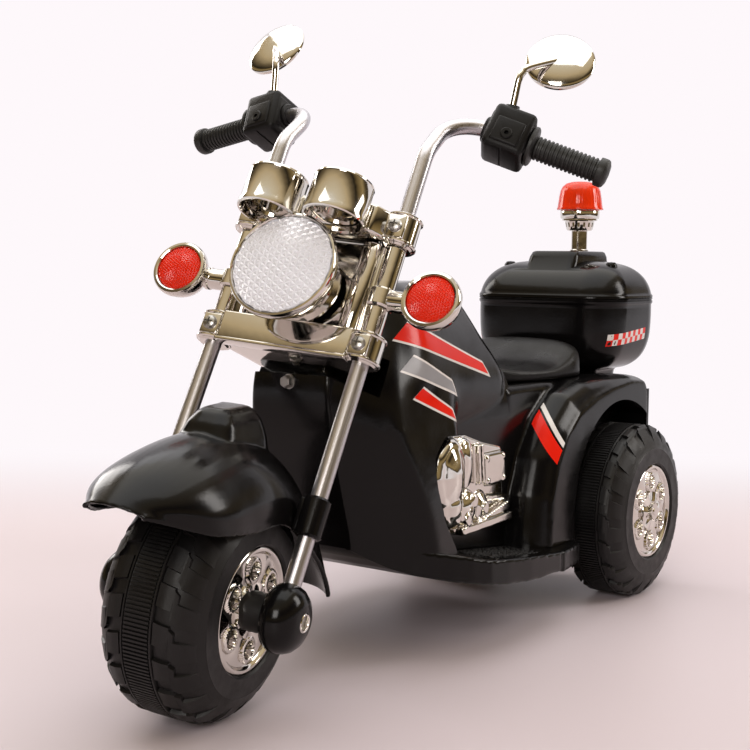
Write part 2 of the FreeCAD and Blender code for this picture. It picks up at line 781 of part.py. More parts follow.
# Front fender: a long arched shell round the wheel, with a hump on its crown
def fender_section(angle, crown, lip, half_width, wall):
    direction = Vector(math.cos(math.radians(angle)), 0, math.sin(math.radians(angle)))
    outer = [direction * lip + Y * half_width, direction * crown, direction * lip - Y * half_width]
    inner = [direction * lip + Y * (half_width - wall), direction * (crown - wall),
             direction * lip - Y * (half_width - wall)]
    return outer, inner


def fender_wires(kind):
    clear = wheel_radius + size("fender_crown")
    half = size("fender_half_width")
    stations = [
        (36, clear + 42, clear + 31, half * 0.45),
        (46, clear + 33, clear - 14, half * 0.93),
        (70, clear + 14, clear - 37, half),
        (105, clear + 3, clear - 48, half),
        (145, clear - 4, clear - 52, half),
        (185, clear + 4, clear - 30, half * 0.96),
    ]
    wires = []
    # The core that trims the hump ends halfway through the wall
    depth = size("fender_wall") * (1 if kind == "shell" else 0.5)
    for station in stations:
        outer, inner = fender_section(*station, depth)
        crown = Part.Arc(*outer).toShape()
        under = Part.Arc(*reversed(inner)).toShape()
        if kind == "shell":
            edges = [crown, Part.LineSegment(outer[2], inner[2]).toShape(), under,
                     Part.LineSegment(inner[0], outer[0]).toShape()]
        else:
            edges = [under, Part.LineSegment(inner[0], inner[2]).toShape()]
        wires.append(Part.Wire(edges))
    return wires


fender = Part.makeLoft(fender_wires("shell"), True, False)
fender_core = Part.makeLoft(fender_wires("core"), True, False)
hump_radius = size("hump_diameter") / 2
hump_centre = Vector(-4, 0, wheel_radius + size("fender_crown") + size("hump_height") - hump_radius)
hump = Part.makeSphere(hump_radius, hump_centre)
formed("front_fender", fender.fuse(hump.cut(fender_core)).removeSplitter(), front)

# Sleeves on the fork legs that hold the fender's sides
sleeve_radius = size("sleeve_diameter") / 2
sleeves = []
for side in (1, -1):
    base = Vector(0, side * fork_half, size("sleeve_base"))
    sleeve = Part.makeCylinder(sleeve_radius, size("sleeve_length"), base)
    tab_start = side * (size("fender_half_width") + gap)
    tab = Part.makeBox(14, abs(fork_half - abs(tab_start)), size("sleeve_length"),
                       Vector(-7, min(tab_start, side * fork_half), size("sleeve_base")))
    bore = Part.makeCylinder(tube_radius + fit, size("sleeve_length"), base)
    sleeves.append(sleeve.fuse(tab).cut(bore).removeSplitter())
formed("fender_sleeves", Part.makeCompound(sleeves), fork)

# Footboard tray: rimmed boards, a raised nose and a sunk floor for battery and drive
wall = size("body_wall")
pod = size("pod_half_width")
board = size("board_height")
cowl_base = size("cowl_base")
tray_half = size("tray_half_width")
arch = wheel_radius + size("arch_clearance")
nose = size("wheelbase") - size("nose_setback")
tray_outline = mirrored_outline([
    (size("tail_end") + 12, pod), (arch + 8, pod), (arch + 8, tray_half - 8), (arch + 60, tray_half),
    (size("cowl_rear"), tray_half), (size("cowl_rear") + 50, tray_half - 18), (nose - 30, tray_half - 50),
    (nose, tray_half - 86)])
tray_outline = [(x, y) for x, y in reversed(tray_outline)]


def plan_prism(outline, base, top, draw_in=0):
    points = inset([Vector(x, y, base) for x, y in outline], draw_in)
    return prism(points, Z * (top - base))


far = size("wheelbase") * 2
tray = plan_prism(tray_outline, size("tray_floor"), cowl_base)
boards = plan_prism(tray_outline, board, cowl_base + 1, size("tray_rim"))
ahead_of_boards = Part.makeBox(far, far, far, Vector(size("cowl_rear"), -far / 2, 0))
rim_rise = prism([Vector(-far, -far, board + 2), Vector(arch, -far, board + 2),
                  Vector(size("cowl_rear"), -far, cowl_base - 3), Vector(size("cowl_rear"), -far, far),
                  Vector(-far, -far, far)], Y * far * 2)
keel = prism([Vector(arch + 60, -far, 0), Vector(arch + 60, -far, size("tray_floor")),
              Vector(nose, -far, cowl_base - 4), Vector(nose, -far, 0)], Y * far * 2)
well_half = pod - size("tray_wall")
floor_top = size("tray_floor") + size("floor_thickness")
waist_reach = 40
well = plan_prism(list(reversed(mirrored_outline([
    (size("tail_end") + 20, well_half), (size("cowl_rear") - 4, well_half)]))), floor_top, cowl_base)
well = well.cut(placed(keel, at(0, 0, size("floor_thickness"))))
waist_room = Part.makeBox(waist_reach + gap, 2 * (pod + gap), cowl_base - board,
                          Vector(size("cowl_rear"), -pod - gap, board))
tray = tray.cut([boards.cut(ahead_of_boards), rim_rise, keel, well, waist_room])
pedal_y = -tray_half + size("tray_rim") + 10
pedal_barrel = size("pedal_thickness") / 2
pedal_axis = Vector(size("pedal_start"), pedal_y, board + gap + pedal_barrel)
lug_width = 6
pedal_width = size("pedal_width")
pedal_pin = Part.makeCylinder(pedal_barrel / 2, pedal_width + 2 * gap + lug_width,
                              pedal_axis - Y * (gap + lug_width / 2), Y)
lugs = [pedal_pin]
for start in (-gap - lug_width, pedal_width + gap):
    lugs.append(Part.makeBox(pedal_barrel * 2, lug_width, pedal_barrel * 2 + gap,
                             Vector(pedal_axis.x - pedal_barrel, pedal_y + start, board)))
formed("footboard_tray", tray.fuse(lugs).removeSplitter())

# Foot pedal on the right board, hinged on the pin at its heel and raised at the toe by its travel
pedal_rise = size("pedal_length") * math.tan(math.radians(size("pedal_travel") + 1))
pedal_plate = prism([Vector(0, 0, -pedal_barrel), Vector(size("pedal_length"), 0, pedal_rise - pedal_barrel),
                     Vector(size("pedal_length"), 0, pedal_rise + pedal_barrel), Vector(0, 0, pedal_barrel)],
                    Y * pedal_width)
pedal = pedal_plate.fuse(Part.makeCylinder(pedal_barrel, pedal_width, Vector(), Y))
pedal = pedal.cut(Part.makeCylinder(pedal_barrel / 2 + running, pedal_width, Vector(), Y))
formed("foot_pedal", pedal.removeSplitter(), at(pedal_axis.x, pedal_axis.y, pedal_axis.z))

# Front cowl: leg shield and neck, narrow waist and tank in one hollow moulding
split = size("body_split")
rear_edge = size("cowl_rear")
tank_top = size("tank_top")
neck_top = head_frame.multVec(Z * size("stem_depth")).z + size("neck_rise")
neck_front = head_frame.Base.x + size("neck_lead")
round_edge = size("body_round")
tank_front = neck_front - 35
shield_levels = [
    (cowl_base, mirrored_outline([(rear_edge, 92), (nose - 54, 95), (nose, 40)])),
    (size("shield_level"), mirrored_outline([(rear_edge, 85), (neck_front - 47, 80), (neck_front - 5, 40)])),
    (neck_top, mirrored_outline([(rear_edge, 80), (neck_front - 41, 74), (neck_front, 38)])),
]
waist_levels = [
    (board, mirrored_outline([(split, pod), (rear_edge + waist_reach, pod)])),
    (neck_top, mirrored_outline([(split, pod), (rear_edge + waist_reach, pod)])),
]
tank_levels = [
    (size("tank_base"), mirrored_outline([(split, 60), (tank_front - 30, 75), (tank_front, 45)])),
    (neck_top + 3, mirrored_outline([(split, 56), (tank_front - 34, 78), (tank_front, 45)])),
    (neck_top + 50, mirrored_outline([(split + 34, 46), (tank_front - 52, 68), (tank_front - 16, 40)])),
    (tank_top, mirrored_outline([(split + 66, 26), (tank_front - 64, 36), (tank_front - 36, 26)])),
]


# Room for the lower clamp and the fork, grown by a wall for the inside of the shell
def steering_room(grow):
    setback = size("tank_front_setback") + grow
    base = neck_level - grow
    above = Part.makeBox(far, far, far, Vector(-setback, -far / 2, base))
    back = size("steer_setback") + size("stem_diameter") * 2 + grow
    shoulder_half = fork_half + size("clamp_end") + grow
    # The plan narrows backwards as the clamp does, with room for its swing
    plan = mirrored_outline([
        (-back, size("stem_diameter") + grow), (-setback - 22, shoulder_half * 0.72),
        (-setback - 8, shoulder_half), (-setback, far / 2), (0, far / 2)])
    slot_top = lower_base + size("lower_clamp_height") + 4 + grow
    slot = prism([Vector(x, y, base) for x, y in plan], Z * (slot_top - base))
    return placed(above.fuse(slot), fork_straight)


outer = stacked(shield_levels, round_edge).fuse(
    [stacked(waist_levels, round_edge), stacked(tank_levels, round_edge)])
inner = stacked(shield_levels, round_edge, wall, True).fuse(
    [stacked(waist_levels, round_edge, wall, True), stacked(tank_levels, round_edge, wall)])
head_tube = placed(Part.makeCylinder(bush_radius + size("head_tube_wall"), size("stem_depth")), head_frame)
head_bore = placed(Part.makeCylinder(bush_radius + fit, size("stem_depth")), head_frame)
cowl = outer.cut(steering_room(0)).cut(inner.cut(steering_room(wall)))
cowl = cowl.fuse(head_tube).cut(head_bore)

# Charge socket and drive switch in the right wall of the waist
socket_radius = size("socket_diameter") / 2
socket_place = at(232, -pod - 2, 214, X, -90)
socket_hole = placed(Part.makeCylinder(socket_radius + fit, 20), socket_place)
formed("charge_socket", turned([
    (size("socket_bore") / 2, 0), (socket_radius + 3, 0), (socket_radius + 3, 2 - fit),
    (socket_radius, 2 - fit), (socket_radius, size("socket_length")),
    (size("socket_bore") / 2, size("socket_length"))]), socket_place)
rocker_length = size("rocker_length")
rocker_width = size("rocker_width")
rocker_place = at(264, -pod + wall / 2, 216)
rocker_pin = Part.makeCylinder(wall / 3, rocker_length + 4, Vector(-rocker_length / 2 - 2, 0, 0), X)
rocker = Part.makeBox(rocker_length, 9, rocker_width, Vector(-rocker_length / 2, -5.5, -rocker_width / 2))
formed("drive_switch", rocker.fuse(rocker_pin).removeSplitter(), rocker_place)
window_corner = Vector(-rocker_length / 2 - gap, -rocker_length / 2, -rocker_width / 2 - 2 * gap)
rocker_window = Part.makeBox(rocker_length + 2 * gap, rocker_length, rocker_width + 4 * gap, window_corner)
rocker_bearing = Part.makeCylinder(wall / 3 + running, rocker_length + 4 + 2 * gap,
                                   Vector(-rocker_length / 2 - 2 - gap, 0, 0), X)
cowl = cowl.cut([socket_hole, placed(rocker_window.fuse(rocker_bearing), rocker_place)])
formed("front_cowl", cowl.removeSplitter())

# Rear body: seat pod and two fenders over the wheels, open below
tail = size("tail_end")
seat_deck = size("seat_deck")
deck = size("deck_height")
span = size("fender_half_span")


def rear_volume(draw_in):
    low = board - (1 if draw_in else 0)
    side = [Vector(split - draw_in, 0, low), Vector(split - draw_in, 0, seat_deck - draw_in),
            Vector(size("seat_rear") - draw_in, 0, seat_deck - draw_in),
            Vector(size("seat_rear") - draw_in, 0, deck - draw_in),
            Vector(tail + draw_in, 0, deck - draw_in), Vector(tail + draw_in, 0, low)]
    hollow = prism(side, Y * 2 * (pod - draw_in))
    hollow.translate(Y * -(pod - draw_in))
    return hollow


def fender_volume(side, draw_in):
    top = seat_deck - draw_in
    front_foot = split + 10 - draw_in
    points = [Vector(front_foot, 0, board - (1 if draw_in else 0)), Vector(front_foot - 10, 0, board + 62),
              Vector(front_foot - 34, 0, board + 98), Vector(front_foot - 66, 0, top - 18),
              Vector(front_foot - 104, 0, top), Vector(tail + 40, 0, top),
              Vector(tail + 10 + draw_in, 0, top - 12), Vector(tail + draw_in, 0, top - 30),
              Vector(tail + draw_in, 0, board - (1 if draw_in else 0))]
    start = pod if draw_in else pod - wall
    volume = prism(points, Y * (span - draw_in - start))
    volume.translate(Y * (start if side > 0 else -(span - draw_in)))
    return volume


arch_tool = Part.makeCylinder(arch, span, Vector(0, pod, wheel_radius), Y)
arch_other = Part.makeCylinder(arch, span, Vector(0, -pod, wheel_radius), Y * -1)
below_height = wheel_radius + 40 - board
below_fender = Part.makeBox(arch - tail, far, below_height, Vector(tail - 1, pod, board - 1))
below_other = Part.makeBox(arch - tail, far, below_height, Vector(tail - 1, -pod - far, board - 1))
axle_hole = Part.makeCylinder(axle_radius + fit, far, Vector(0, -far / 2, wheel_radius), Y)
rear = rear_volume(0).fuse([fender_volume(1, 0), fender_volume(-1, 0)])
rear = rear.cut([rear_volume(wall), fender_volume(1, wall), fender_volume(-1, wall)])
waist_side = Part.makeBox(far, 2 * (pod + gap), far, Vector(split, -pod - gap, 0))
rear = rear.cut([arch_tool, arch_other, below_fender, below_other, axle_hole, waist_side])
formed("rear_body", rear.removeSplitter())

# Saddle seat: a crowned pad that dips in the middle and rises into a lip at the back
seat_half = size("seat_half_width")
thick = size("seat_thickness")


def seat_section(x, half_width, crown):
    base = seat_deck + gap
    left = Vector(x, half_width, base)
    right = Vector(x, -half_width, base)
    edge = Vector(0, 0, thick * 0.45)
    arc = Part.Arc(left + edge, Vector(x, 0, base + crown), right + edge).toShape()
    runs = [(right, left), (left, left + edge), (right + edge, right)]
    base_run, left_run, right_run = [Part.LineSegment(*run).toShape() for run in runs]
    return Part.Wire([base_run, left_run, arc, right_run])


seat_front = split - 2
seat_back = size("seat_rear") + 2
seat_run = seat_front - seat_back
seat = Part.makeLoft([
    seat_section(seat_front, seat_half * 0.62, thick * 1.5),
    seat_section(seat_front - seat_run * 0.35, seat_half * 0.85, thick),
    seat_section(seat_front - seat_run * 0.65, seat_half * 0.98, thick * 1.1),
    seat_section(seat_front - seat_run * 0.88, seat_half, size("seat_lip") * 0.75),
    seat_section(seat_back, seat_half * 0.92, size("seat_lip")),
], True, False)
formed("seat", seat)

# Engine covers on the waist: a plated block with a round case and two cylinders above it
cover_half = size("engine_length") / 2
cover_depth = size("engine_depth")
case_radius = size("engine_height") * 0.32
for side, name in ((1, "left"), (-1, "right")):
    plate = Part.makeBox(size("engine_length"), cover_depth * 0.35, size("engine_height"),
                         Vector(-cover_half, 0, 0))
    case = Part.makeCylinder(case_radius, cover_depth, Vector(cover_half * 0.35, 0, case_radius + 4), Y)
    gear_case = Part.makeCylinder(case_radius * 0.8, cover_depth * 0.8,
                                  Vector(-cover_half * 0.45, 0, case_radius * 0.8 + 6), Y)
    cylinders = []
    for lean in (-1, 1):
        barrel = Part.makeBox(26, cover_depth * 0.8, size("engine_height") * 0.55,
                              Vector(-13, 0, 0))
        barrel.rotate(Vector(), Y, 18 * lean)
        barrel.translate(Vector(22 * lean, 0, size("engine_height") * 0.42))
        cylinders.append(barrel)
    cover = plate.fuse([case, gear_case] + cylinders)
    trim = Part.makeBox(size("engine_length"), cover_depth, size("engine_height"), Vector(-cover_half, 0, 0))
    cover = cover.common(trim).removeSplitter()
    if side < 0:
        cover = cover.mirror(Vector(), Y)
    formed(f"engine_cover_{name}", cover, at(size("engine_start") + cover_half, side * (pod + gap),
                                            size("engine_base")))

# Top case: tub on the rear deck, hinged lid with a raised rib
case_front = size("case_front")
case_rear = size("case_rear")
case_half = size("case_half_width")
case_wall = size("case_wall")
seam = size("case_seam")
case_round = size("case_round")
foot = size("case_foot_half_width")


def case_outline(draw_in, half_width):
    return mirrored_outline([(case_rear + draw_in, half_width), (case_front - draw_in, half_width)])


tub_levels = [
    (deck + gap, case_outline(26, foot)),
    (deck + 20, case_outline(14, foot + 5)),
    (deck + 39, case_outline(5, case_half - 8)),
    (seam, case_outline(0, case_half)),
]
tub_inner = stacked(tub_levels, case_round, case_wall, open_top=True)
lid_base = seam + gap
lid_top = lid_base + size("lid_height")
lid_levels = [
    (lid_base, case_outline(0, case_half)),
    (lid_base + size("lid_height") * 0.65, case_outline(8, case_half - 16)),
    (lid_top, case_outline(22, case_half - 42)),
]
rib_half = size("lid_rib_half_width")
rib_levels = [
    (lid_base + size("lid_height") * 0.5, mirrored_outline([
        (case_rear + 20, rib_half), (case_front - 8, rib_half)])),
    (lid_top + size("lid_rib_height"), mirrored_outline([
        (case_rear + 30, rib_half - 5), (case_front - 22, rib_half - 5)])),
]
lid = stacked(lid_levels, case_round).fuse(stacked(rib_levels, 10))
lid = lid.cut(stacked(lid_levels, case_round, case_wall, True))

# Lid hinge: a knuckle on the lid turns on a pin between two ears of the tub
hinge_radius = size("hinge_pin") / 2
knuckle = hinge_radius * 1.8
knuckle_half = size("hinge_width") / 2
ear_width = size("hinge_width") / 2
hinge = Vector(case_rear - hinge_radius * 2, 0, lid_base + hinge_radius * 2)


lid = lid.fuse([
    Part.makeCylinder(knuckle, knuckle_half * 2, hinge - Y * knuckle_half, Y),
    Part.makeBox(knuckle * 2, knuckle_half * 2, knuckle * 2, hinge + Vector(0, -knuckle_half, -knuckle))])
lid = lid.cut(Part.makeCylinder(hinge_radius + running, knuckle_half * 2, hinge - Y * knuckle_half, Y))
formed("box_lid", lid.removeSplitter())
tub = stacked(tub_levels, case_round)
for start in (knuckle_half + gap, -knuckle_half - gap - ear_width):
    ear = Part.makeCylinder(knuckle, ear_width, hinge + Y * start, Y)
    stalk_height = hinge_radius * 8
    stalk_corner = hinge + Vector(-knuckle, start, -stalk_height)
    stalk = Part.makeBox(knuckle * 2, ear_width, stalk_height, stalk_corner)
    root_height = stalk_height - hinge_radius * 2 - gap
    root = Part.makeBox(knuckle * 3, ear_width, root_height, stalk_corner)
    tub = tub.fuse([ear, stalk, root])
pin_half = knuckle_half + gap + ear_width
tub = tub.cut([tub_inner, Part.makeCylinder(hinge_radius + fit, pin_half * 2, hinge - Y * pin_half, Y)])
formed("box_tub", tub.removeSplitter())
primitive("Part::Cylinder", "lid_pin", at(hinge.x, -pin_half, hinge.z, X, -90),
          Radius="dims.hinge_pin / 2", Height="2 * dims.hinge_width + 2 * dims.seat_gap")

# Beacon on the lid: pole, collar and ring in one plated turning, and the coloured dome
beacon_x = size("beacon_position")
pole_base = lid_top + size("lid_rib_height") + gap
pole_top = pole_base + size("pole_height")
base_top = pole_top + size("beacon_base_height")
formed("beacon_base", turned([
    (0, pole_base), (size("pole_diameter") / 2, pole_base), (size("pole_diameter") / 2, pole_top),
    (size("collar_diameter") / 2, pole_top), (size("collar_diameter") / 2, pole_top + 9),
    (size("ring_diameter") / 2, pole_top + 9), (size("beacon_diameter") / 2, base_top), (0, base_top)]),
       at(beacon_x, 0, 0))
beacon_radius = size("beacon_diameter") / 2
beacon_height = size("beacon_height")
formed("beacon_lens", turned([
    (0, gap), (beacon_radius - 1, gap), (beacon_radius - 2.5, beacon_height * 0.6),
    *dome(beacon_radius - 2.5, beacon_height * 0.6, beacon_height)]), at(beacon_x, 0, base_top))

# Tail panel on the back of the rear body
primitive("Part::Box", "tail_panel", at(tail - gap - 4, -pod + 6, deck - 52),
          Length="4", Width="2 * (dims.pod_half_width - 6)", Height="46")

# Battery, control unit and speaker on the tray floor
primitive("Part::Box", "battery", at(size("battery_start"), -size("battery_width") / 2, floor_top),
          Length="dims.battery_length", Width="dims.battery_width", Height="dims.battery_height")
primitive("Part::Box", "control_unit", at(tail + 26, pod - 14 - size("control_width"), floor_top),
          Length="dims.control_length", Width="dims.control_width", Height="dims.control_height")
speaker_radius = size("speaker_diameter") / 2
formed("speaker", turned([
    (0, 0), (speaker_radius, 0), (speaker_radius, 3), (speaker_radius * 0.6, size("speaker_height") * 0.6),
    (speaker_radius * 0.45, size("speaker_height") * 0.6), (speaker_radius * 0.45, size("speaker_height")),
    (0, size("speaker_height"))]), at(nose - 74, 0, cowl_base))

# Gearbox round the axle beside the right wheel, with the motor standing forward of it
gear_outer = -(pod - wall - gap)
gearbox_radius = size("gearbox_radius")
gearbox = Part.makeCylinder(gearbox_radius, size("gearbox_width"), Vector(0, gear_outer, wheel_radius), Y)
gear_arm = Part.makeBox(size("motor_forward"), size("gearbox_width"), gearbox_radius * 1.2,
                        Vector(0, gear_outer, wheel_radius - gearbox_radius * 0.6))
gear_end = Part.makeCylinder(gearbox_radius * 0.6, size("gearbox_width"),
                             Vector(size("motor_forward"), gear_outer, wheel_radius), Y)
under_floor = Part.makeBox(far, far, floor_top, Vector(-far / 2, -far / 2, 0))
gearbox = gearbox.fuse([gear_arm, gear_end]).cut([axle_hole, under_floor])
formed("gearbox", gearbox.removeSplitter())
primitive("Part::Cylinder", "motor",
          at(size("motor_forward"), gear_outer + size("gearbox_width"), wheel_radius, X, -90),
          Radius="dims.motor_diameter / 2", Height="dims.motor_length")

doc.recompute()
for item in doc.Objects:
    if any(state in item.State for state in ("Invalid", "Error")):
        raise RuntimeError(f"{item.Label} failed to build")
for piece in nodes:
    if piece.Shape.isNull() or not piece.Shape.isValid():
        raise RuntimeError(f"{piece.Label} has no valid shape")
os.makedirs("parts", exist_ok=True)
for piece in nodes:
    piece.Shape.exportStep(f"parts/{piece.Label}.step")
print(len(nodes), "nodes")
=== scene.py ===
import json
import math

import bmesh
import bpy
from mathutils import Matrix, Vector
from mathutils.bvhtree import BVHTree


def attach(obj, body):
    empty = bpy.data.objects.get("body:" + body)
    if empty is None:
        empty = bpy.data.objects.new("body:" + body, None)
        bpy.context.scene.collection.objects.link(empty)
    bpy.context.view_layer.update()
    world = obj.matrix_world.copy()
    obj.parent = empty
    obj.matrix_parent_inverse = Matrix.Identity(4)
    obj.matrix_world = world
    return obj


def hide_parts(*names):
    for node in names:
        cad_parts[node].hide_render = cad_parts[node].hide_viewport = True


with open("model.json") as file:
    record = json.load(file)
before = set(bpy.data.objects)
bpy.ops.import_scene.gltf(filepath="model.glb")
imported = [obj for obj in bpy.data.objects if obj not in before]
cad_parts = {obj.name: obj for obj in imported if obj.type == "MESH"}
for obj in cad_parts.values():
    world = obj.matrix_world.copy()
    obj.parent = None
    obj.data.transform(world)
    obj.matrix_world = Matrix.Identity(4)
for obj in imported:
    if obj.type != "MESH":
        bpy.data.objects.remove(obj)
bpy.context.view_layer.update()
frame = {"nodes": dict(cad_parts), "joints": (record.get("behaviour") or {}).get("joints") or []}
nodes = frame["nodes"]
joints = {joint["name"]: joint for joint in frame["joints"]}
MM = 0.001

# Footboard tray: one blow-moulded black tray that carries the drive, with a rimmed board each side.
# The boards have a pebbled tread so that shoes don't slip, and the shells are screwed down on the tray.
far_side = 200
shell_voxel = 1.7 * MM
noise_low, noise_high = 0.3, 0.7
wear_patch, peel_pitch = 28 * MM, 2.6 * MM


# sRGB hex code as a linear colour
def linear(code):
    channels = [int(code[start:start + 2], 16) / 255 for start in (1, 3, 5)]
    return [c / 12.92 if c <= 0.04045 else ((c + 0.055) / 1.055) ** 2.4 for c in channels] + [1.0]


# One node with its settings; an input that is given a socket is linked, any other is set
def add(tree, kind, links=None, **settings):
    node = tree.nodes.new(kind)
    for name, value in settings.items():
        setattr(node, name, value)
    for socket, source in (links or {}).items():
        if isinstance(source, bpy.types.NodeSocket):
            tree.links.new(source, node.inputs[socket])
        else:
            node.inputs[socket].default_value = source
    return node


# Material whose constants are set on the shader
def finish(name, colour, sockets):
    material = bpy.data.materials.new(name)
    material.use_nodes = True
    shader = material.node_tree.nodes["Principled BSDF"]
    shader.inputs["Base Color"].default_value = linear(colour)
    for socket, value in sockets.items():
        shader.inputs[socket].default_value = value
    return material, material.node_tree, shader


# Noise at a real feature size, read from the piece's own place; stretch draws it out along the turned axes
def speckle(tree, feature, detail=2.0, stretch=(1, 1, 1), turn=(0, 0, 0)):
    place = add(tree, "ShaderNodeTexCoord")
    mapped = add(tree, "ShaderNodeMapping", {"Vector": place.outputs["Object"], "Scale": stretch,
                                             "Rotation": turn}, vector_type="TEXTURE")
    return add(tree, "ShaderNodeTexNoise", {"Vector": mapped.outputs["Vector"], "Scale": 1 / feature,
                                            "Detail": detail})


# The middle of a noise, stretched to a range of values
def spread(tree, source, low, high):
    return add(tree, "ShaderNodeMapRange", {"Value": source, "From Min": noise_low, "From Max": noise_high,
                                            "To Min": low, "To Max": high}).outputs["Result"]


# Roughness that wanders between two values in patches of a feature size
def mottle(tree, shader, feature, detail, low, high):
    patches = speckle(tree, feature, detail)
    tree.links.new(spread(tree, patches.outputs["Fac"], low, high), shader.inputs["Roughness"])


# Fine relief of a height in metres
def roughen(tree, shader, source, height):
    bump = add(tree, "ShaderNodeBump", {"Height": source, "Distance": height, "Strength": 1.0})
    tree.links.new(bump.outputs["Normal"], shader.inputs["Normal"])


# Moulded plastic: a smooth skin whose faint orange peel and rubbed patches break up the highlights
def moulded_plastic(name, colour, low, high, peel):
    material, tree, shader = finish(name, colour, {"IOR": 1.49, "Specular IOR Level": 0.2})
    mottle(tree, shader, wear_patch, 5.0, low, high)
    roughen(tree, shader, speckle(tree, peel_pitch).outputs["Fac"], peel)
    return material


# Near-black polypropylene: the gloss one mirrors the soft boxes in streaks, the satin one only shines dully
gloss_black = moulded_plastic("moulded_gloss_black", "#0b0a0b", 0.13, 0.24, 0.04 * MM)
satin_black = moulded_plastic("moulded_satin_black", "#0f0e0f", 0.34, 0.5, 0.08 * MM)


# Object from a mesh, with its points welded and its normals outward
def piece_from(name, mesh):
    bmesh.ops.remove_doubles(mesh, verts=mesh.verts, dist=1e-6)
    bmesh.ops.recalc_face_normals(mesh, faces=mesh.faces)
    data = bpy.data.meshes.new(name)
    mesh.to_mesh(data)
    mesh.free()
    piece = bpy.data.objects.new(name, data)
    bpy.context.collection.objects.link(piece)
    return piece


# Modifiers become plain mesh
def bake(piece):
    graph = bpy.context.evaluated_depsgraph_get()
    data = bpy.data.meshes.new_from_object(piece.evaluated_get(graph))
    piece.modifiers.clear()
    piece.data = data
    return piece


# Last step of a visible piece: its material, shading, body and the solids that it stands for; the slot argument is
# not used
def settle(piece, body, slot, material, *replaced, crease=40):
    piece.data.materials.clear()
    piece.data.materials.append(material)
    piece.data.polygons.foreach_set("use_smooth", [True] * len(piece.data.polygons))
    piece.data.set_sharp_from_angle(angle=math.radians(crease))
    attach(piece, body)
    if replaced:
        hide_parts(*replaced)
    return piece


# Quads between closed rows of equally many points
def stitch(mesh, rows):
    for near, far in zip(rows, rows[1:]):
        for index in range(len(near)):
            after = (index + 1) % len(near)
            mesh.faces.new((near[index], near[after], far[after], far[index]))


# Closed solid through rings of equally many points
def loft(rings, mesh=None):
    mesh = mesh or bmesh.new()
    rows = [[mesh.verts.new(point) for point in ring] for ring in rings]
    stitch(mesh, rows)
    mesh.faces.new(list(reversed(rows[0])))
    mesh.faces.new(rows[-1])
    return mesh


# Half plan (x, y) with its mirror image
def both_sides(half_plan):
    return [(x, -y) for x, y in half_plan] + [(x, y) for x, y in reversed(half_plan)]


# Smoothing of a whole piece, or of a group of its points
def smoothed(piece, passes, group=""):
    smooth = piece.modifiers.new("ease", "SMOOTH")
    smooth.factor = 0.5
    smooth.iterations = passes
    smooth.vertex_group = group
    return bake(piece)


# Overlapping closed solids become one moulded skin with eased edges
def melt(piece, voxel, passes):
    remesh = piece.modifiers.new("skin", "REMESH")
    remesh.mode = "VOXEL"
    remesh.voxel_size = voxel
    return smoothed(piece, passes)


# Change of a piece by another closed one
def combine(piece, tool, operation):
    change = piece.modifiers.new("combine", "BOOLEAN")
    change.object = tool
    change.operation = operation
    change.solver = "EXACT"


# Tools cut away from a piece and thrown away
def cut_by(piece, *tools):
    for tool in tools:
        combine(piece, tool, "DIFFERENCE")
    bake(piece)
    for tool in tools:
        bpy.data.objects.remove(tool)
    return piece


# Copy of a solid, with the seams between its faces welded
def copied(name, node):
    mesh = bmesh.new()
    mesh.from_mesh(nodes[node].data)
    bmesh.ops.remove_doubles(mesh, verts=mesh.verts, dist=2e-6)
    return piece_from(name, mesh)


# Box between two corners in millimetres
def box_mesh(low, high, place=Matrix(), mesh=None):
    mesh = mesh or bmesh.new()
    corners = [place @ (Vector((x, y, z)) * MM) for z in (low[2], high[2])
               for x, y in ((low[0], low[1]), (high[0], low[1]), (high[0], high[1]), (low[0], high[1]))]
    verts = [mesh.verts.new(corner) for corner in corners]
    for face in ((3, 2, 1, 0), (4, 5, 6, 7), (0, 1, 5, 4), (1, 2, 6, 5), (2, 3, 7, 6), (3, 0, 4, 7)):
        mesh.faces.new([verts[corner] for corner in face])
    return mesh


def block(name, low, high, place=Matrix()):
    return piece_from(name, box_mesh(low, high, place))


# Several pieces become one, moved to their place
def merged(name, pieces, place=Matrix()):
    mesh = bmesh.new()
    for piece in pieces:
        mesh.from_mesh(piece.data)
        bpy.data.objects.remove(piece)
    mesh.transform(place)
    return piece_from(name, mesh)


# Prism through a half plan (x, y), mirrored to the other side
def plan_block(half_plan, low, high):
    return loft([[Vector((x, y, level)) * MM for x, y in both_sides(half_plan)] for level in (low, high)])


# Prism through a side outline (x, z) from one side of the trike to the other
def side_block(outline):
    return loft([[Vector((x, across, z)) * MM for x, z in outline] for across in (-far_side, far_side)])


sill_plan = ((172, 123), (178, 127), (240, 128), (280, 126.6), (304, 122.6), (324, 115.6), (340, 106.5),
             (354, 95), (364, 83), (374, 66), (392, 30))
board_nose = ((283, 150), (420, 150))
belly = ((150, 0), (150, 57), (179, 57.5), (237, 60), (284, 65), (315, 70), (339, 75), (364, 82), (380, 89),
         (395, 98), (420, 116), (420, 0))
board_line = ((150, 76), (180, 77), (240, 83), (305, 91), (355, 103), (404, 116), (430, 122))
board_inner, pan_top = 70.5, 76.2
tray = copied("footboard_tray_skin", "footboard_tray")
rooms = [piece_from("nose_room", plan_block(board_nose, pan_top, 130))]
for side in (1, -1):
    low, high = sorted((side * board_inner, side * far_side))
    rooms.append(block("board_room", (172, low, 0), (430, high, 200)))
cut_by(tray, *rooms)
sill = cut_by(piece_from("sill", plan_block(sill_plan, 50, 130)), piece_from("belly", side_block(belly)),
              piece_from("above", side_block(board_line + ((430, 200), (150, 200)))),
              block("middle", (100, -69, pan_top), (450, 69, 200)),
              block("pan", (100, -66, 0), (288, 66, 100)),
              block("pedal_well", (194, -118, pan_top), (288, -60, 200)))
tray = melt(merged("footboard_tray_skin", [tray, sill]), shell_voxel, 10)
settle(tray, "chassis", "black_satin", gloss_black, "footboard_tray")


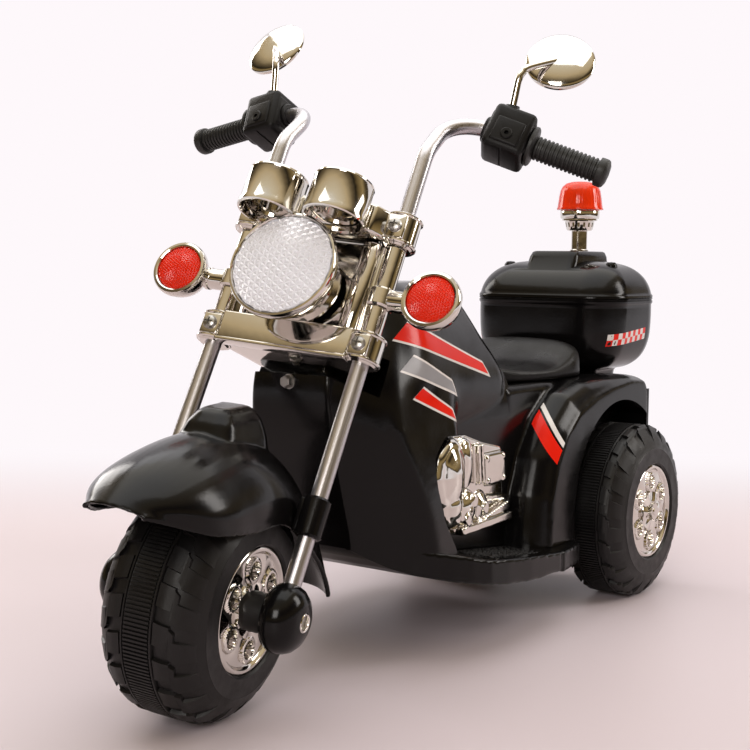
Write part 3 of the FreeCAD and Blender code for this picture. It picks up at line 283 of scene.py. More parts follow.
# Geometry Nodes tree with named inputs: gives the tree, its input node and the inputs' identifiers
def new_tree(name, **kinds):
    tree = bpy.data.node_groups.new(name, "GeometryNodeTree")
    tree.interface.new_socket("Geometry", in_out="INPUT", socket_type="NodeSocketGeometry")
    inputs = {label: tree.interface.new_socket(label, in_out="INPUT", socket_type=f"NodeSocket{kind}").identifier
              for label, kind in kinds.items()}
    tree.interface.new_socket("Geometry", in_out="OUTPUT", socket_type="NodeSocketGeometry")
    return tree, add(tree, "NodeGroupInput"), inputs


# End of a tree: the copies become real mesh in the material that is given
def end_tree(tree, given, copies):
    real = add(tree, "GeometryNodeRealizeInstances", {"Geometry": copies.outputs["Instances"]})
    dressed = add(tree, "GeometryNodeSetMaterial", {"Geometry": real.outputs["Geometry"],
                                                    "Material": given.outputs["Material"]})
    add(tree, "NodeGroupOutput", {"Geometry": dressed.outputs["Geometry"]})


# Piece that a tree makes from the values of its inputs
def grown(piece, tree, inputs, **values):
    growth = piece.modifiers.new("growth", "NODES")
    growth.node_group = tree
    for label, value in values.items():
        growth[inputs[label]] = value
    return bake(piece)


# Pebbles scattered over a rectangle, each one a flattened ball of its own size
pebble_pitch, pebble_radius, pebble_shift = 3.6, 1.9, 1.2
pebble_least, pebble_most = (0.7, 0.7, 0.35), (1.3, 1.3, 0.6)
board_slope = math.atan2(8, 65)
tread_tree, given, tread_inputs = new_tree("pebble_tread", Length="Float", Width="Float", Rows="Int", Columns="Int",
                                           Radius="Float", Seed="Int", Material="Material")
grid = add(tread_tree, "GeometryNodeMeshGrid", {
    "Size X": given.outputs["Length"], "Size Y": given.outputs["Width"],
    "Vertices X": given.outputs["Columns"], "Vertices Y": given.outputs["Rows"]})
shift = add(tread_tree, "FunctionNodeRandomValue", {
    "Min": (-pebble_shift * MM, -pebble_shift * MM, 0), "Max": (pebble_shift * MM, pebble_shift * MM, 0),
    "Seed": given.outputs["Seed"]}, data_type="FLOAT_VECTOR")
spots = add(tread_tree, "GeometryNodeSetPosition", {"Geometry": grid.outputs["Mesh"],
                                                    "Offset": shift.outputs["Value"]})
pebble = add(tread_tree, "GeometryNodeMeshIcoSphere", {"Radius": given.outputs["Radius"], "Subdivisions": 1})
size = add(tread_tree, "FunctionNodeRandomValue", {"Min": pebble_least, "Max": pebble_most,
                                                   "Seed": given.outputs["Seed"]}, data_type="FLOAT_VECTOR")
strewn = add(tread_tree, "GeometryNodeInstanceOnPoints", {
    "Points": spots.outputs["Geometry"], "Instance": pebble.outputs["Mesh"], "Scale": size.outputs["Value"]})
end_tree(tread_tree, given, strewn)


def pebbled(name, low, high, level, seed):
    wide, deep = high[0] - low[0], high[1] - low[1]
    pebbles = grown(piece_from(name, bmesh.new()), tread_tree, tread_inputs, Length=wide * MM, Width=deep * MM,
                    Columns=round(wide / pebble_pitch), Rows=round(deep / pebble_pitch),
                    Radius=pebble_radius * MM, Seed=seed, Material=satin_black)
    middle = Vector(((low[0] + high[0]) / 2, (low[1] + high[1]) / 2, level)) * MM
    pebbles.data.transform(Matrix.Translation(middle) @ Matrix.Rotation(-board_slope, 4, "Y"))
    return settle(pebbles, "chassis", "black_satin", satin_black, crease=60)


pebbled("tread_left", (184, 74), (288, 114), 82.8, 3)
pebbled("tread_right", (291, -112), (302, -80), 89.9, 5)

# Drive: sealed battery, control unit, speaker and gear motor that sit on the tray's floor.
# ABS and nylon cases and a rolled steel motor can, all closed in by the shells.


# Finish of a solid that is shown as it is
def dress(material, *names):
    for name in names:
        for slot in nodes[name].material_slots:
            slot.material = material


# Steel bar, drawn and plated: satin grey with fine lines along its length
def drawn_steel(name, colour, turn):
    material, tree, shader = finish(name, colour, {"Metallic": 1.0})
    lines = speckle(tree, 0.9 * MM, 2.0, (1, 1, 60), turn)
    tree.links.new(spread(tree, lines.outputs["Fac"], 0.26, 0.4), shader.inputs["Roughness"])
    roughen(tree, shader, lines.outputs["Fac"], 0.015 * MM)
    return material


# ABS, injection-moulded: dull greys with hardly a highlight
grey_abs = moulded_plastic("moulded_grey_abs", "#5a5b5e", 0.4, 0.58, 0.08 * MM)
battery_abs = moulded_plastic("moulded_battery_abs", "#3a3c42", 0.4, 0.6, 0.08 * MM)
steel = drawn_steel("drawn_plated_steel", "#a9a7a4", (math.pi / 2, 0, 0))
dress(battery_abs, "battery", "speaker")
dress(grey_abs, "gearbox", "control_unit")
dress(steel, "motor", "rear_axle", "axle_nuts")

# Rear wheels: blow-moulded satin black tyres, each with a ribbed centre band and two rows of staggered blocks.
# A plated hubcap with six bored bosses snaps into the rim opening, and the axle runs through both wheels.
hands = ((1, "left"), (-1, "right"))
wheel_radius = 91
tread_half, tread_depth, tread_share, tread_fade = 20, 3.2, 0.9, 0.35
band_half = 10.5
rim_radius, rim_chamfer, hub_radius, axle_bore = 50, 1.5, 15, 5.05
rib_count, block_count = 180, 20
rear_half, rear_hub_half, rear_web, rear_cap_seat = 35, 19, 20, 29.5
bead_share = 0.97
shoulder = ((0, 91), (0.26, 89), (0.5, 85.2), (0.72, 79.5), (0.88, 72.8), (bead_share, 65.5), (1.0, 58))
band_rail = ((13.6, tread_depth), (13.2, 0.6), (12.8, 0), (11.6, 0), (11.2, 1.4), (band_half, 1.6))
rib_section = ((wheel_radius - 2.4, 0.78), (wheel_radius, 0.5))
block_rows = ((0, 10.5, 1.5), (4, 13.5, 2), (8.5, 10.5, 2.5))
block_start, block_sink, block_flare = 14.2, tread_depth + 1, 0.55

# Polyethylene, blow-moulded: a dull black with a fine grain, scuffed to uneven patches
tyre_plastic, tree, shader = finish("moulded_tyre_pe", "#121112", {"IOR": 1.5, "Specular IOR Level": 0.3})
mottle(tree, shader, 9 * MM, 5.0, 0.36, 0.52)
roughen(tree, shader, speckle(tree, 1.1 * MM).outputs["Fac"], 0.07 * MM)


# Place in millimetres, and a turn that lays local Z out to a side
def at(x, y, z):
    return Matrix.Translation(Vector((x, y, z)) * MM)


def sideways(side=1):
    return Matrix.Rotation(-side * math.pi / 2, 4, "X")


def polar(place, radius, angle, height):
    return place @ (Vector((radius * math.cos(angle), radius * math.sin(angle), height)) * MM)


# Solid of revolution about local Z through (radius, height) points in millimetres
def lathe(profile, place, segments=72, mesh=None, loop=False):
    mesh = mesh or bmesh.new()
    rows = [[mesh.verts.new(polar(place, radius, 2 * math.pi * step / segments, height))
             for step in range(segments)] for radius, height in profile]
    stitch(mesh, rows + rows[:1] if loop else rows)
    return mesh


def turned(name, profile, place, segments=72, loop=False):
    return piece_from(name, lathe(profile, place, segments, loop=loop))


# Round plug about local Z, mostly a tool for a hole
def plug(name, radius, low, high, place, segments=72):
    return turned(name, [(0, low), (radius, low), (radius, high), (0, high)], place, segments)


# Copies of a shape round its Y axis
ring_tree, given, ring_inputs = new_tree("ring_of_copies", Count="Int", Material="Material")
share = add(ring_tree, "ShaderNodeMath", {0: 2 * math.pi, 1: given.outputs["Count"]}, operation="DIVIDE")
index = add(ring_tree, "GeometryNodeInputIndex")
angle = add(ring_tree, "ShaderNodeMath", {0: index.outputs["Index"], 1: share.outputs["Value"]},
            operation="MULTIPLY")
euler = add(ring_tree, "ShaderNodeCombineXYZ", {"Y": angle.outputs["Value"]})
turn = add(ring_tree, "FunctionNodeEulerToRotation", {"Euler": euler.outputs["Vector"]})
places = add(ring_tree, "GeometryNodeMeshLine", {"Count": given.outputs["Count"], "Offset": (0, 0, 0)})
copies = add(ring_tree, "GeometryNodeInstanceOnPoints", {
    "Points": places.outputs["Mesh"], "Instance": given.outputs["Geometry"],
    "Rotation": turn.outputs["Rotation"]})
end_tree(ring_tree, given, copies)


# Outer radius of the tread, by how far across the tyre
def tread_radius(across, half):
    share = max(0.0, (abs(across) - tread_half) / (half - tread_half))
    for (near, high), (far, low) in zip(shoulder, shoulder[1:]):
        if share <= far:
            return high + (low - high) * (share - near) / (far - near)
    return shoulder[-1][1]


# Point on a tyre, by degrees round the axle from the top
def tyre_point(degrees, radius, across):
    bearing = math.radians(degrees)
    return Vector((math.sin(bearing) * radius, across, math.cos(bearing) * radius)) * MM


# One tread block: its sides follow a slanted line, and its top follows the tyre's shoulder
def tread_block(mesh, half, start, end, lead, width, lean):
    stations = 5
    rows = []
    for step in range(stations + 1):
        share = step / stations
        across = start + (end - start) * share
        top = tread_radius(across, half)
        middle = lead + lean * share
        rows.append([mesh.verts.new(tyre_point(middle + edge * (width / 2 + spare), radius, across))
                     for radius, spare in ((top - block_sink, block_flare), (top, 0.0)) for edge in (-1, 1)])
    for near, far in zip(rows, rows[1:]):
        for a, b in ((0, 2), (2, 3), (3, 1), (1, 0)):
            mesh.faces.new((near[a], near[b], far[b], far[a]))
    for row in (rows[0], rows[-1]):
        mesh.faces.new((row[0], row[1], row[3], row[2]))


def tyre(name, half, hub_half, web, place):
    side = [(hub_half, axle_bore), (hub_half, hub_radius), (web, hub_radius + 1), (web, rim_radius),
            (half - rim_chamfer, rim_radius), (half, rim_radius + rim_chamfer)]
    for share, radius in reversed(shoulder):
        sink = tread_depth * min(1.0, max(0.0, (tread_share - share) / tread_fade))
        side.append((tread_half + (half - tread_half) * share, radius - sink))
        if share == bead_share:
            side += [(side[-1][0] + 0.2, radius + 1.2), (side[-1][0] - 0.5, radius + 2.2)]
    side += [(across, wheel_radius - drop) for across, drop in band_rail]
    profile = side + [(-across, radius) for across, radius in reversed(side)]
    carcass = turned("carcass", [(radius, across) for across, radius in profile], sideways(), 120, loop=True)
    rib = bmesh.new()
    corners = [rib.verts.new(tyre_point(edge * wide, radius, across)) for radius, wide in rib_section
               for across in (-band_half, band_half) for edge in (-1, 1)]
    for face in ((0, 1, 3, 2), (4, 6, 7, 5), (0, 4, 5, 1), (2, 3, 7, 6), (0, 2, 6, 4), (1, 5, 7, 3)):
        rib.faces.new([corners[corner] for corner in face])
    ribs = grown(piece_from("ribs", rib), ring_tree, ring_inputs, Count=rib_count, Material=tyre_plastic)
    blocks = bmesh.new()
    edge = tread_half + (half - tread_half) * tread_share
    middle = (band_rail[0][0] + edge) / 2 - 2
    lines = (block_start, middle, middle + 3, edge)
    for hand, offset in ((1, 0), (-1, 9)):
        for near, far, (lead, width, lean) in zip(lines, lines[1:], block_rows):
            tread_block(blocks, half, hand * near, hand * far, offset + lead, width, lean)
    blocks = grown(piece_from("blocks", blocks), ring_tree, ring_inputs, Count=block_count, Material=tyre_plastic)
    return merged(name, (carcass, ribs, blocks), place)


# Chrome on moulded plastic: bright and very smooth, with a long waviness that bends what it mirrors
def chrome_plate(name, colour):
    material, tree, shader = finish(name, colour, {"Metallic": 1.0})
    mottle(tree, shader, 14 * MM, 4.0, 0.04, 0.13)
    roughen(tree, shader, speckle(tree, 9 * MM, 1.0).outputs["Fac"], 0.09 * MM)
    return material


plated = chrome_plate("chrome_plated_abs", "#d6d2cc")
cap_radius, cap_depth = 49.8, 7
cap_rim, cap_rim_edge, cap_dish, cap_ray = 43.5, 47.8, 21.5, 32
boss_circle, boss_radius, bore_radius, boss_count = 31, 10.5, 7.2, 6
nut_reach, nut_flat, stud_radius = 10.5, 8.2, 3.8
face_level, rim_rise, rim_fall, rim_ease = 1.0, 2.8, 1.2, 2
dish_level, dish_rise, dish_wave, ray_rise, ray_reach = 3.2, 2.4, 0.9, 1.1, 12
boss_top, boss_fall, boss_ease = 3.4, 0.6, 1.6
bore_top, bore_drop, bore_ease = 3.0, 8.5, 1.3
nut_seat, nut_top, stud_top = 4.2, 7.4, 8.4


# Height of the hubcap's face in millimetres at a radius and bearing
def cap_height(radius, bearing, centre_nut):
    turn = bearing % (2 * math.pi / boss_count) - math.pi / boss_count
    away = math.hypot(radius * math.cos(turn) - boss_circle, radius * math.sin(turn))
    ray = math.cos(boss_count * bearing)
    height = face_level
    if radius > cap_rim:
        height += rim_rise * min(1.0, (radius - cap_rim) / rim_ease)
        height -= rim_fall * max(0.0, (radius - cap_rim_edge) / rim_ease)
    elif radius < cap_dish:
        height = dish_level + dish_rise * (1 - radius / cap_dish) + dish_wave * ray * min(1.0, radius / ray_reach)
    else:
        height += ray_rise * max(0.0, ray) * (1 - abs(radius - cap_ray) / ray_reach)
    if away < boss_radius:
        height = max(height, boss_top - boss_fall * max(0.0, (away - boss_radius + boss_ease) / boss_ease))
        if away < bore_radius:
            height = bore_top - bore_drop * min(1.0, (bore_radius - away) / bore_ease)
    if centre_nut and radius < nut_reach:
        flat = nut_flat / math.cos((bearing % (math.pi / 3)) - math.pi / 6)
        height = nut_top if radius < flat else nut_seat
        if radius < stud_radius:
            height = stud_top
    return height


def hubcap(name, inner, centre_nut, place):
    rings, spokes = 74, 168
    bearings = [2 * math.pi * spoke / spokes for spoke in range(spokes)]
    mesh = bmesh.new()
    rows = []
    for ring in range(rings + 1):
        radius = inner + (cap_radius - inner) * ring / rings
        rows.append([mesh.verts.new(polar(place, radius, bearing, cap_height(radius, bearing, centre_nut)))
                     for bearing in bearings])
    for radius in (cap_radius, inner):
        rows.append([mesh.verts.new(polar(place, radius, bearing, -cap_depth)) for bearing in bearings])
    stitch(mesh, rows + rows[:1] if inner else rows)
    return piece_from(name, mesh)


for side, hand in hands:
    body = f"rear_wheel_{hand}"
    hub = Matrix.Translation(joints[f"{body}_spin"]["pos_m"])
    settle(tyre(f"rear_tyre_{hand}_tread", rear_half, rear_hub_half, rear_web, hub), body, "tyre_black",
           tyre_plastic, f"rear_tyre_{hand}", crease=30)
    cap = hubcap(f"rear_hubcap_{hand}_plate", 0, True, hub @ sideways(side) @ at(0, 0, rear_cap_seat))
    settle(cap, body, "plated", plated, f"rear_hubcap_{hand}", crease=30)

# Rear body: seat pod and two fenders in one blow-moulded gloss black shell, screwed down on the tray.
# A skirt closes the arch behind the wheel.
pod_half = 68
pod_front, pod_back, tail = 176, 28, -72
pod_lap = pod_front + 12
board_level, deck_level, seat_level = 76, 215, 232
fender_out, fender_draft = 113, 0.045
arch_radius, arch_floor, axle_room, gap = 116, 131, 6, 0.3
skirt_back, skirt_front, skirt_out, skirt_low, skirt_high = -71.6, -67, 104, 164, 214
fender_side = ((190, 30), (186, 80), (180, 128), (166, 165), (142, 197), (108, 221), (66, 232), (20, 233.5),
               (-30, 232), (-64, 229), (-73, 217), (-72, 180), (-72, 30))
fender_edge = ((62, 0), (80, 0), (87, 1), (93, 3.2), (98, 6.4), (102, 10.5), (104.6, 14.5), (106, 17.6), (107.2, 18),
               (108, 19), (109.4, 19.8), (110, 22.5))
edge_start, edge_run, edge_least = -40, 130, 0.28
arc_limit = 0.48


# Closed outline in millimetres with each corner rounded by an arc of a few points; the radii may differ
def rounded(corners, radius, steps=6):
    radii = radius if isinstance(radius, tuple) else (radius,) * len(corners)
    points = []
    corners = [Vector(corner) for corner in corners]
    for index, here in enumerate(corners):
        before, after = corners[index - 1] - here, corners[(index + 1) % len(corners)] - here
        back, ahead = before.normalized(), after.normalized()
        half = back.angle(ahead) / 2
        arc = min(radii[index], min(before.length, after.length) * arc_limit * math.tan(half))
        centre = here + (back + ahead).normalized() * (arc / math.sin(half))
        start = here + back * (arc / math.tan(half)) - centre
        end = here + ahead * (arc / math.tan(half)) - centre
        for step in range(steps + 1):
            share = step / steps
            direction = (start * (1 - share) + end * share).normalized()
            points.append(centre + direction * arc)
    return points


# Solid through rounded plans, given as heights with half plans
def level_loft(levels, radius, mesh=None):
    return loft([[Vector((p.x, p.y, height)) * MM for p in rounded(both_sides(half), radius)]
                 for height, half in levels], mesh)


# Side outline drawn across the trike and drawn in as it nears the outer face, which leans in towards the top
def side_loft(outline, sections, radius, side, mesh):
    eased = rounded(outline, radius, 6)
    inward = []
    for index in range(len(eased)):
        along = eased[(index + 1) % len(eased)] - eased[index - 1]
        inward.append(Vector((-along.y, along.x)).normalized())
    rings = []
    for across, inset in sections:
        ring = []
        for point, square in zip(eased, inward):
            ahead = min(max((point.x - edge_start) / edge_run, 0), 1)
            spot = point + square * inset * (edge_least + (1 - edge_least) * ahead ** 2 * (3 - 2 * ahead))
            lean = max(spot.y - board_level, 0) * fender_draft * (across - pod_half) / (fender_out - pod_half)
            ring.append(Vector((spot.x, side * (across - max(lean, 0)), spot.y)) * MM)
        rings.append(ring)
    return loft(rings, mesh)


shell = level_loft([(level, [(tail, pod_half), (pod_lap, pod_half)]) for level in (board_level, deck_level)], 8)
level_loft([(level, [(pod_back + inset, pod_half - drop), (pod_lap, pod_half - drop)]) for level, inset, drop in
            ((board_level, 0, 0), (seat_level - 6, 0, 0), (seat_level, 3, 4))], 8, shell)
for side in (1, -1):
    side_loft(fender_side, fender_edge, 30, side, shell)
shell = melt(piece_from("rear_shell", shell), shell_voxel, 12)
tools, skirts = [], []
for side in (1, -1):
    tools.append(plug("arch", arch_radius, pod_half, far_side, at(0, 0, wheel_radius) @ sideways(side), 128))
    low, high = sorted((side * pod_half, side * far_side))
    tools.append(block("under", (-200, low, -100), (60, high, arch_floor)))
    low, high = sorted((side * pod_half, side * skirt_out))
    skirts.append(block("skirt", (skirt_back, low, skirt_low), (skirt_front, high, skirt_high)))
tools.append(block("below", (-200, -far_side, -100), (300, far_side, board_level + 0.5)))
tools.append(plug("axle_way", axle_room, -far_side, far_side, at(0, 0, wheel_radius) @ sideways(-1)))
tools.append(block("front_gap", (pod_front, -pod_half - gap, 0), (300, pod_half + gap, 300)))
cut_by(shell, *tools)
shell = merged("rear_shell", [shell, *skirts])
settle(shell, "chassis", "black_gloss", gloss_black, "rear_body", crease=50)

# Tail panel: a flat satin grey ABS plate with rounded corners and an eased edge.
# It is screwed on the back of the rear body and left bare.
tail_half, tail_low, tail_high = 62, 163, 209
tail_rings = []
for x, inset in ((-72.3, 0), (-75.4, 0), (-76.3, 1.2)):
    low, high, half = tail_low + inset, tail_high - inset, tail_half - inset
    plate = rounded([(-half, low), (half, low), (half, high), (-half, high)], 8)
    tail_rings.append([Vector((x, p.x, p.y)) * MM for p in plate])
settle(piece_from("tail_panel_plate", loft(tail_rings)), "chassis", "grey_plastic", grey_abs, "tail_panel", crease=25)

# Saddle: one moulded satin black seat with a fine leather grain, dished in the middle and raised behind.
# It is screwed to the pod from below.
seat_stations = ((174, 44, 21), (160, 50, 18.5), (140, 57, 15), (118, 63, 13.5), (96, 67, 14), (76, 69.5, 18),
                 (58, 71, 26), (44, 71.5, 34), (34, 70, 38.5), (30, 66, 39))
seat_edge, seat_foot, seat_bevel = 7, 0.4, 3
seat_steps, seat_swell = 32, 2.6

# Polypropylene, moulded in a grained tool: black with small cells that soften the highlights
seat_grain, tree, shader = finish("moulded_grained_seat", "#100f10", {"IOR": 1.5, "Specular IOR Level": 0.15})
place = add(tree, "ShaderNodeTexCoord")
grain = add(tree, "ShaderNodeTexVoronoi", {"Vector": place.outputs["Object"], "Scale": 1 / (2.2 * MM)},
            feature="SMOOTH_F1")
mottle(tree, shader, 22 * MM, 4.0, 0.25, 0.4)
roughen(tree, shader, grain.outputs["Distance"], 0.12 * MM)


# Rows of numbers, sampled along a smooth curve through all of them
def smooth_between(stations, count):
    samples = []
    for step in range(count + 1):
        spot = step / count * (len(stations) - 1)
        index = min(int(spot), len(stations) - 2)
        share = spot - index
        four = (stations[min(max(index + k, 0), len(stations) - 1)] for k in (-1, 0, 1, 2))
        samples.append([0.5 * (2 * b + (c - a) * share + (2 * a - 5 * b + 4 * c - d) * share ** 2
                               + (3 * b - a - 3 * c + d) * share ** 3) for a, b, c, d in zip(*four)])
    return samples


rings = []
for x, half, crown in smooth_between(seat_stations, 48):
    foot, bevel = seat_level + seat_foot, seat_level + seat_bevel
    ring = [Vector((x, -half + seat_bevel, foot)), Vector((x, -half, bevel))]
    for step in range(seat_steps + 1):
        across = -1 + 2 * step / seat_steps
        swell = (1 - abs(across) ** seat_swell) ** 0.5
        ring.append(Vector((x, half * math.sin(across * math.pi / 2),
                            seat_level + seat_edge + (crown - seat_edge) * swell)))
    ring += [Vector((x, half, bevel)), Vector((x, half - seat_bevel, foot))]
    rings.append([point * MM for point in ring])
settle(piece_from("seat_saddle", loft(rings)), "chassis", "seat_cover", seat_grain, "seat", crease=60)

# Front cowl: leg shield, neck, waist and tank in one blow-moulded gloss black shell over the tray's nose.
# Each form is drawn as level outlines of a half width: rear edge, flank ridge and front edge.
fork_rake = math.radians(28)
wheelbase, front_axle_level = 562, 93.226
front_hub = Vector(joints["front_wheel_spin"]["pos_m"])
steer_axis = Vector(joints["steering"]["axis"])
straight_fork = at(wheelbase, 0, front_axle_level) @ Matrix.Rotation(-fork_rake, 4, "Y")
forward = Matrix.Rotation(math.pi / 2, 4, "Y")
shield = ((70, 300, 94, 346, 99, 402, 42), (84, 300, 93, 348, 98, 403, 42), (100, 300, 92, 351, 96.5, 404, 42),
          (122, 299, 90.5, 355, 95, 408, 42), (150, 297, 88.5, 364, 92, 416, 41), (182, 294, 86, 378, 87, 425, 40),
          (211, 291, 82, 388, 81.5, 432, 40), (240, 286, 76, 389, 78, 435, 39), (262, 281, 69, 384, 73, 431, 37),
          (282, 277, 61, 376, 66, 420, 34), (298, 275, 54, 366, 58, 406, 30))
tank = ((190, 200, 60, 352, 64, 392, 40), (206, 184, 64, 362, 72, 398, 42), (226, 176, 66, 369, 78, 402, 45),
        (246, 178, 65, 370, 80.5, 403, 46), (262, 186, 60, 367, 79, 402, 45), (280, 199, 53, 361, 75, 397, 43),
        (298, 207, 44, 354, 69, 391, 41), (314, 214, 35, 347, 60, 383, 37), (326, 228, 27, 342, 49, 375, 32),
        (334, 246, 19, 337, 34, 365, 25))
front_panel = ((70, 362, 84, 406, 44.5), (100, 369, 77.6, 407, 44), (122, 373, 77, 411, 44),
               (150, 381, 75.6, 419, 43), (182, 391.5, 73.6, 428, 42), (211, 400, 71.3, 435, 41.5),
               (240, 406, 65, 437.5, 40), (262, 407, 60, 436, 38))
panel_root, waist_front = 330, 345
waist = ((board_level, 68), (204, 68), (218, 67.2), (230, 65), (240, 61), (248, 56))
tank_radii = (22, 60, 22, 22, 60, 22)
tank_flow = (((335, 76, 246), (85, 30, 46)), ((388, 60, 268), (56, 40, 60)))
recess_side = [(260, 60), (260, 199), (322, 199), (344, 182), (343, 156), (335, 126), (316, 98), (312, 60)]
yoke_sweep = ((-112, 0), (-97, 30), (-78, 60), (-64, 82), (-56, 200), (0, 200))


# Longer easing round spots (middle and reach in millimetres) where two forms flow into each other
def soothe(piece, spots, passes):
    border = 2.5
    group = piece.vertex_groups.new(name="soothe")
    for vert in piece.data.vertices:
        here = (vert.co.x / MM, abs(vert.co.y) / MM, vert.co.z / MM)
        share = 0.0
        for middle, reach in spots:
            away = Vector([(h - m) / r for h, m, r in zip(here, middle, reach)]).length
            share = max(share, min(1.0, border * (1 - away)))
        if share > 0:
            group.add([vert.index], share, "REPLACE")
    return smoothed(piece, passes, group.name)


def tapered_levels(stations, count):
    return [(level[0], [tuple(level[1:3]), tuple(level[3:5]), tuple(level[5:7])])
            for level in smooth_between(stations, count)]


cowl = level_loft(tapered_levels(shield, 36), 13)
level_loft([(level, [(panel_root, flank), (rear, flank), (front, nose)])
            for level, rear, flank, front, nose in smooth_between(front_panel, 24)], 3, cowl)
level_loft([(level, [(pod_front - 14, half), (waist_front, half)]) for level, half in waist], 7, cowl)
level_loft(tapered_levels(tank, 36), tank_radii, cowl)
cowl = melt(piece_from("front_cowl_shell", cowl), shell_voxel, 12)
soothe(cowl, tank_flow, 240)
slot_plan = list(yoke_sweep) + [(x, -y) for x, y in reversed(yoke_sweep[1:])]
clamp_slot = loft([[straight_fork @ (Vector((x, y, level)) * MM) for x, y in slot_plan] for level in (204, 238)])
rooms = [block("steer_room", (-56, -far_side, 204), (400, far_side, 600), straight_fork),
         piece_from("clamp_slot", clamp_slot),
         plug("head_bore", 10.7, 166, 215, straight_fork @ at(-80, 0, 0), 48),
         plug("socket_hole", 7.2, -10, 22, at(232, -68, 214) @ sideways(), 40),
         block("switch_hole", (252.7, -80, 208.4), (275.3, -55, 223.6)),
         block("pod_room", (-100, -far_side, 0), (pod_front + gap, far_side, 400)),
         piece_from("keel", side_block(belly))]
for side in (1, -1):
    rooms.append(piece_from("recess", loft([[Vector((p.x, side * across, p.y)) * MM for p in rounded(recess_side, 16)]
                                            for across in (pod_half + 0.2, 160)])))
cut_by(cowl, *rooms)
settle(cowl, "chassis", "black_gloss", gloss_black, "front_cowl", crease=50)
neck_place = at(436.5, 0, 251) @ forward
neck_bolt = lathe([(0, -4), (6.4, -4), (6.4, 1.6), (0, 1.6)], neck_place, 32)
lathe([(0, 1.6), (5.4, 1.6), (5.4, 6.8), (4.4, 8), (0, 8)], neck_place, 6, neck_bolt)
settle(piece_from("neck_bolt_head", neck_bolt), "chassis", "steel", steel, crease=25)
dress(grey_abs, "head_bushes")
dress(satin_black, "charge_socket", "drive_switch", "foot_pedal")

# Engine covers: vacuum-plated mouldings clipped to the waist, shaped like a twin's crankcase.
# A tall primary case, a lower case with bosses, a screwed plate and two exhaust pipes along the foot.
engine_face = 68.3
cover_voxel = 0.9 * MM
dome_rings = (0.85, 0.68, 0.5, 0.32, 0.15)


# Pad from a side outline (x, z): straight walls, eased in to a smaller top that may be domed
def pillow(mesh, outline, radius, base, top, inset, side, dome=0.0):
    steps = 5
    eased = rounded(outline, radius, 6)
    middle = sum(eased, Vector((0, 0))) / len(eased)
    levels = [(base, 0.0)]
    for step in range(steps + 1):
        swing = math.pi / 2 * step / steps
        levels.append((top - inset * (1 - math.sin(swing)), inset * (1 - math.cos(swing))))
    rings = []
    for depth, shrink in levels:
        spots = [point + (middle - point).normalized() * shrink for point in eased]
        rings.append([Vector((spot.x, side * (engine_face + depth), spot.y)) * MM for spot in spots])
    if dome:
        rim = rings[-1]
        centre = sum(rim, Vector((0, 0, 0))) / len(rim)
        for size in dome_rings:
            rise = Vector((0, side * dome * (1 - size * size) * MM, 0))
            rings.append([centre.lerp(point, size) + rise for point in rim])
    return loft(rings, mesh)


def oval(x, z, wide, tall, count=20):
    angles = [2 * math.pi * step / count for step in range(count)]
    return [(x + wide * math.cos(angle), z + tall * math.sin(angle)) for angle in angles]


# Outline of a straight bar between two spots
def bar(start, end, thickness):
    first, last = Vector(start), Vector(end)
    square = Vector((first.y - last.y, last.x - first.x)).normalized() * thickness / 2
    return [first - square, last - square, last + square, first + square]


# Each pad: outline, corner radius, height, easing of the edge and rise of the dome
cover_pads = [
    ([(196, 106), (292, 104), (318, 128), (328, 158), (322, 184), (302, 196), (268, 194), (236, 184), (200, 176)],
     6, 3.5, 1.2, 0),
    ([(284, 128), (300, 122), (318, 134), (327, 158), (322, 182), (306, 195), (290, 195), (276, 176), (276, 148)],
     14, 12, 9, 6),
    ([(262, 150), (276, 140), (284, 160), (286, 186), (277, 193), (266, 190), (258, 172)], 9, 9, 5, 3),
    (oval(297, 132, 17, 20), 3, 11, 5, 5), (oval(270, 126, 17, 18), 3, 9.5, 3.5, 3),
    (oval(244, 124, 13, 15), 3, 8, 3.5, 3)]
cover_pads += [(oval(x, z, 5, 6.5), 1, 13.6, 1.6, 0) for x, z in ((264, 133), (275, 117), (244, 124), (294, 122))]
cover_pads += [([(199, 143), (236, 143), (238, 172), (201, 172)], 3, 8, 1.2, 0)]
cover_pads += [(oval(x, z, 2, 2, 12), 1, 9.2, 0.8, 0)
               for x, z in ((203, 147), (232.5, 147), (234, 168), (204.5, 168))]
cover_pads += [(bar((x, 146), (x + 4, 184), 3), 1.5, 9.5, 1.2, 0) for x in (242, 248)]
cover_pads += [(bar((196, 128), (232, 131), 4), 1.5, 7.5, 1.5, 0), (bar((194, 121), (244, 110), 8), 1.5, 11, 3.5, 0),
               (bar((192, 110), (284, 107), 7.5), 1.5, 13, 3.5, 0)]
for side, hand in hands:
    cover, slot = bmesh.new(), bmesh.new()
    for outline, radius, top, inset, dome in cover_pads:
        pillow(cover, outline, radius, 0, top, inset, side, dome)
    pillow(slot, oval(292, 166, 2.6, 17), 2, 12, 26, 0.5, side)
    pillow(slot, oval(270, 126, 3.2, 3.2, 12), 1, 9.5, 20, 0.5, side)
    cover = melt(piece_from(f"engine_cover_{hand}_plate", cover), cover_voxel, 2)
    cut_by(cover, piece_from("slot", slot))
    settle(cover, "chassis", "plated", plated, f"engine_cover_{hand}", crease=40)

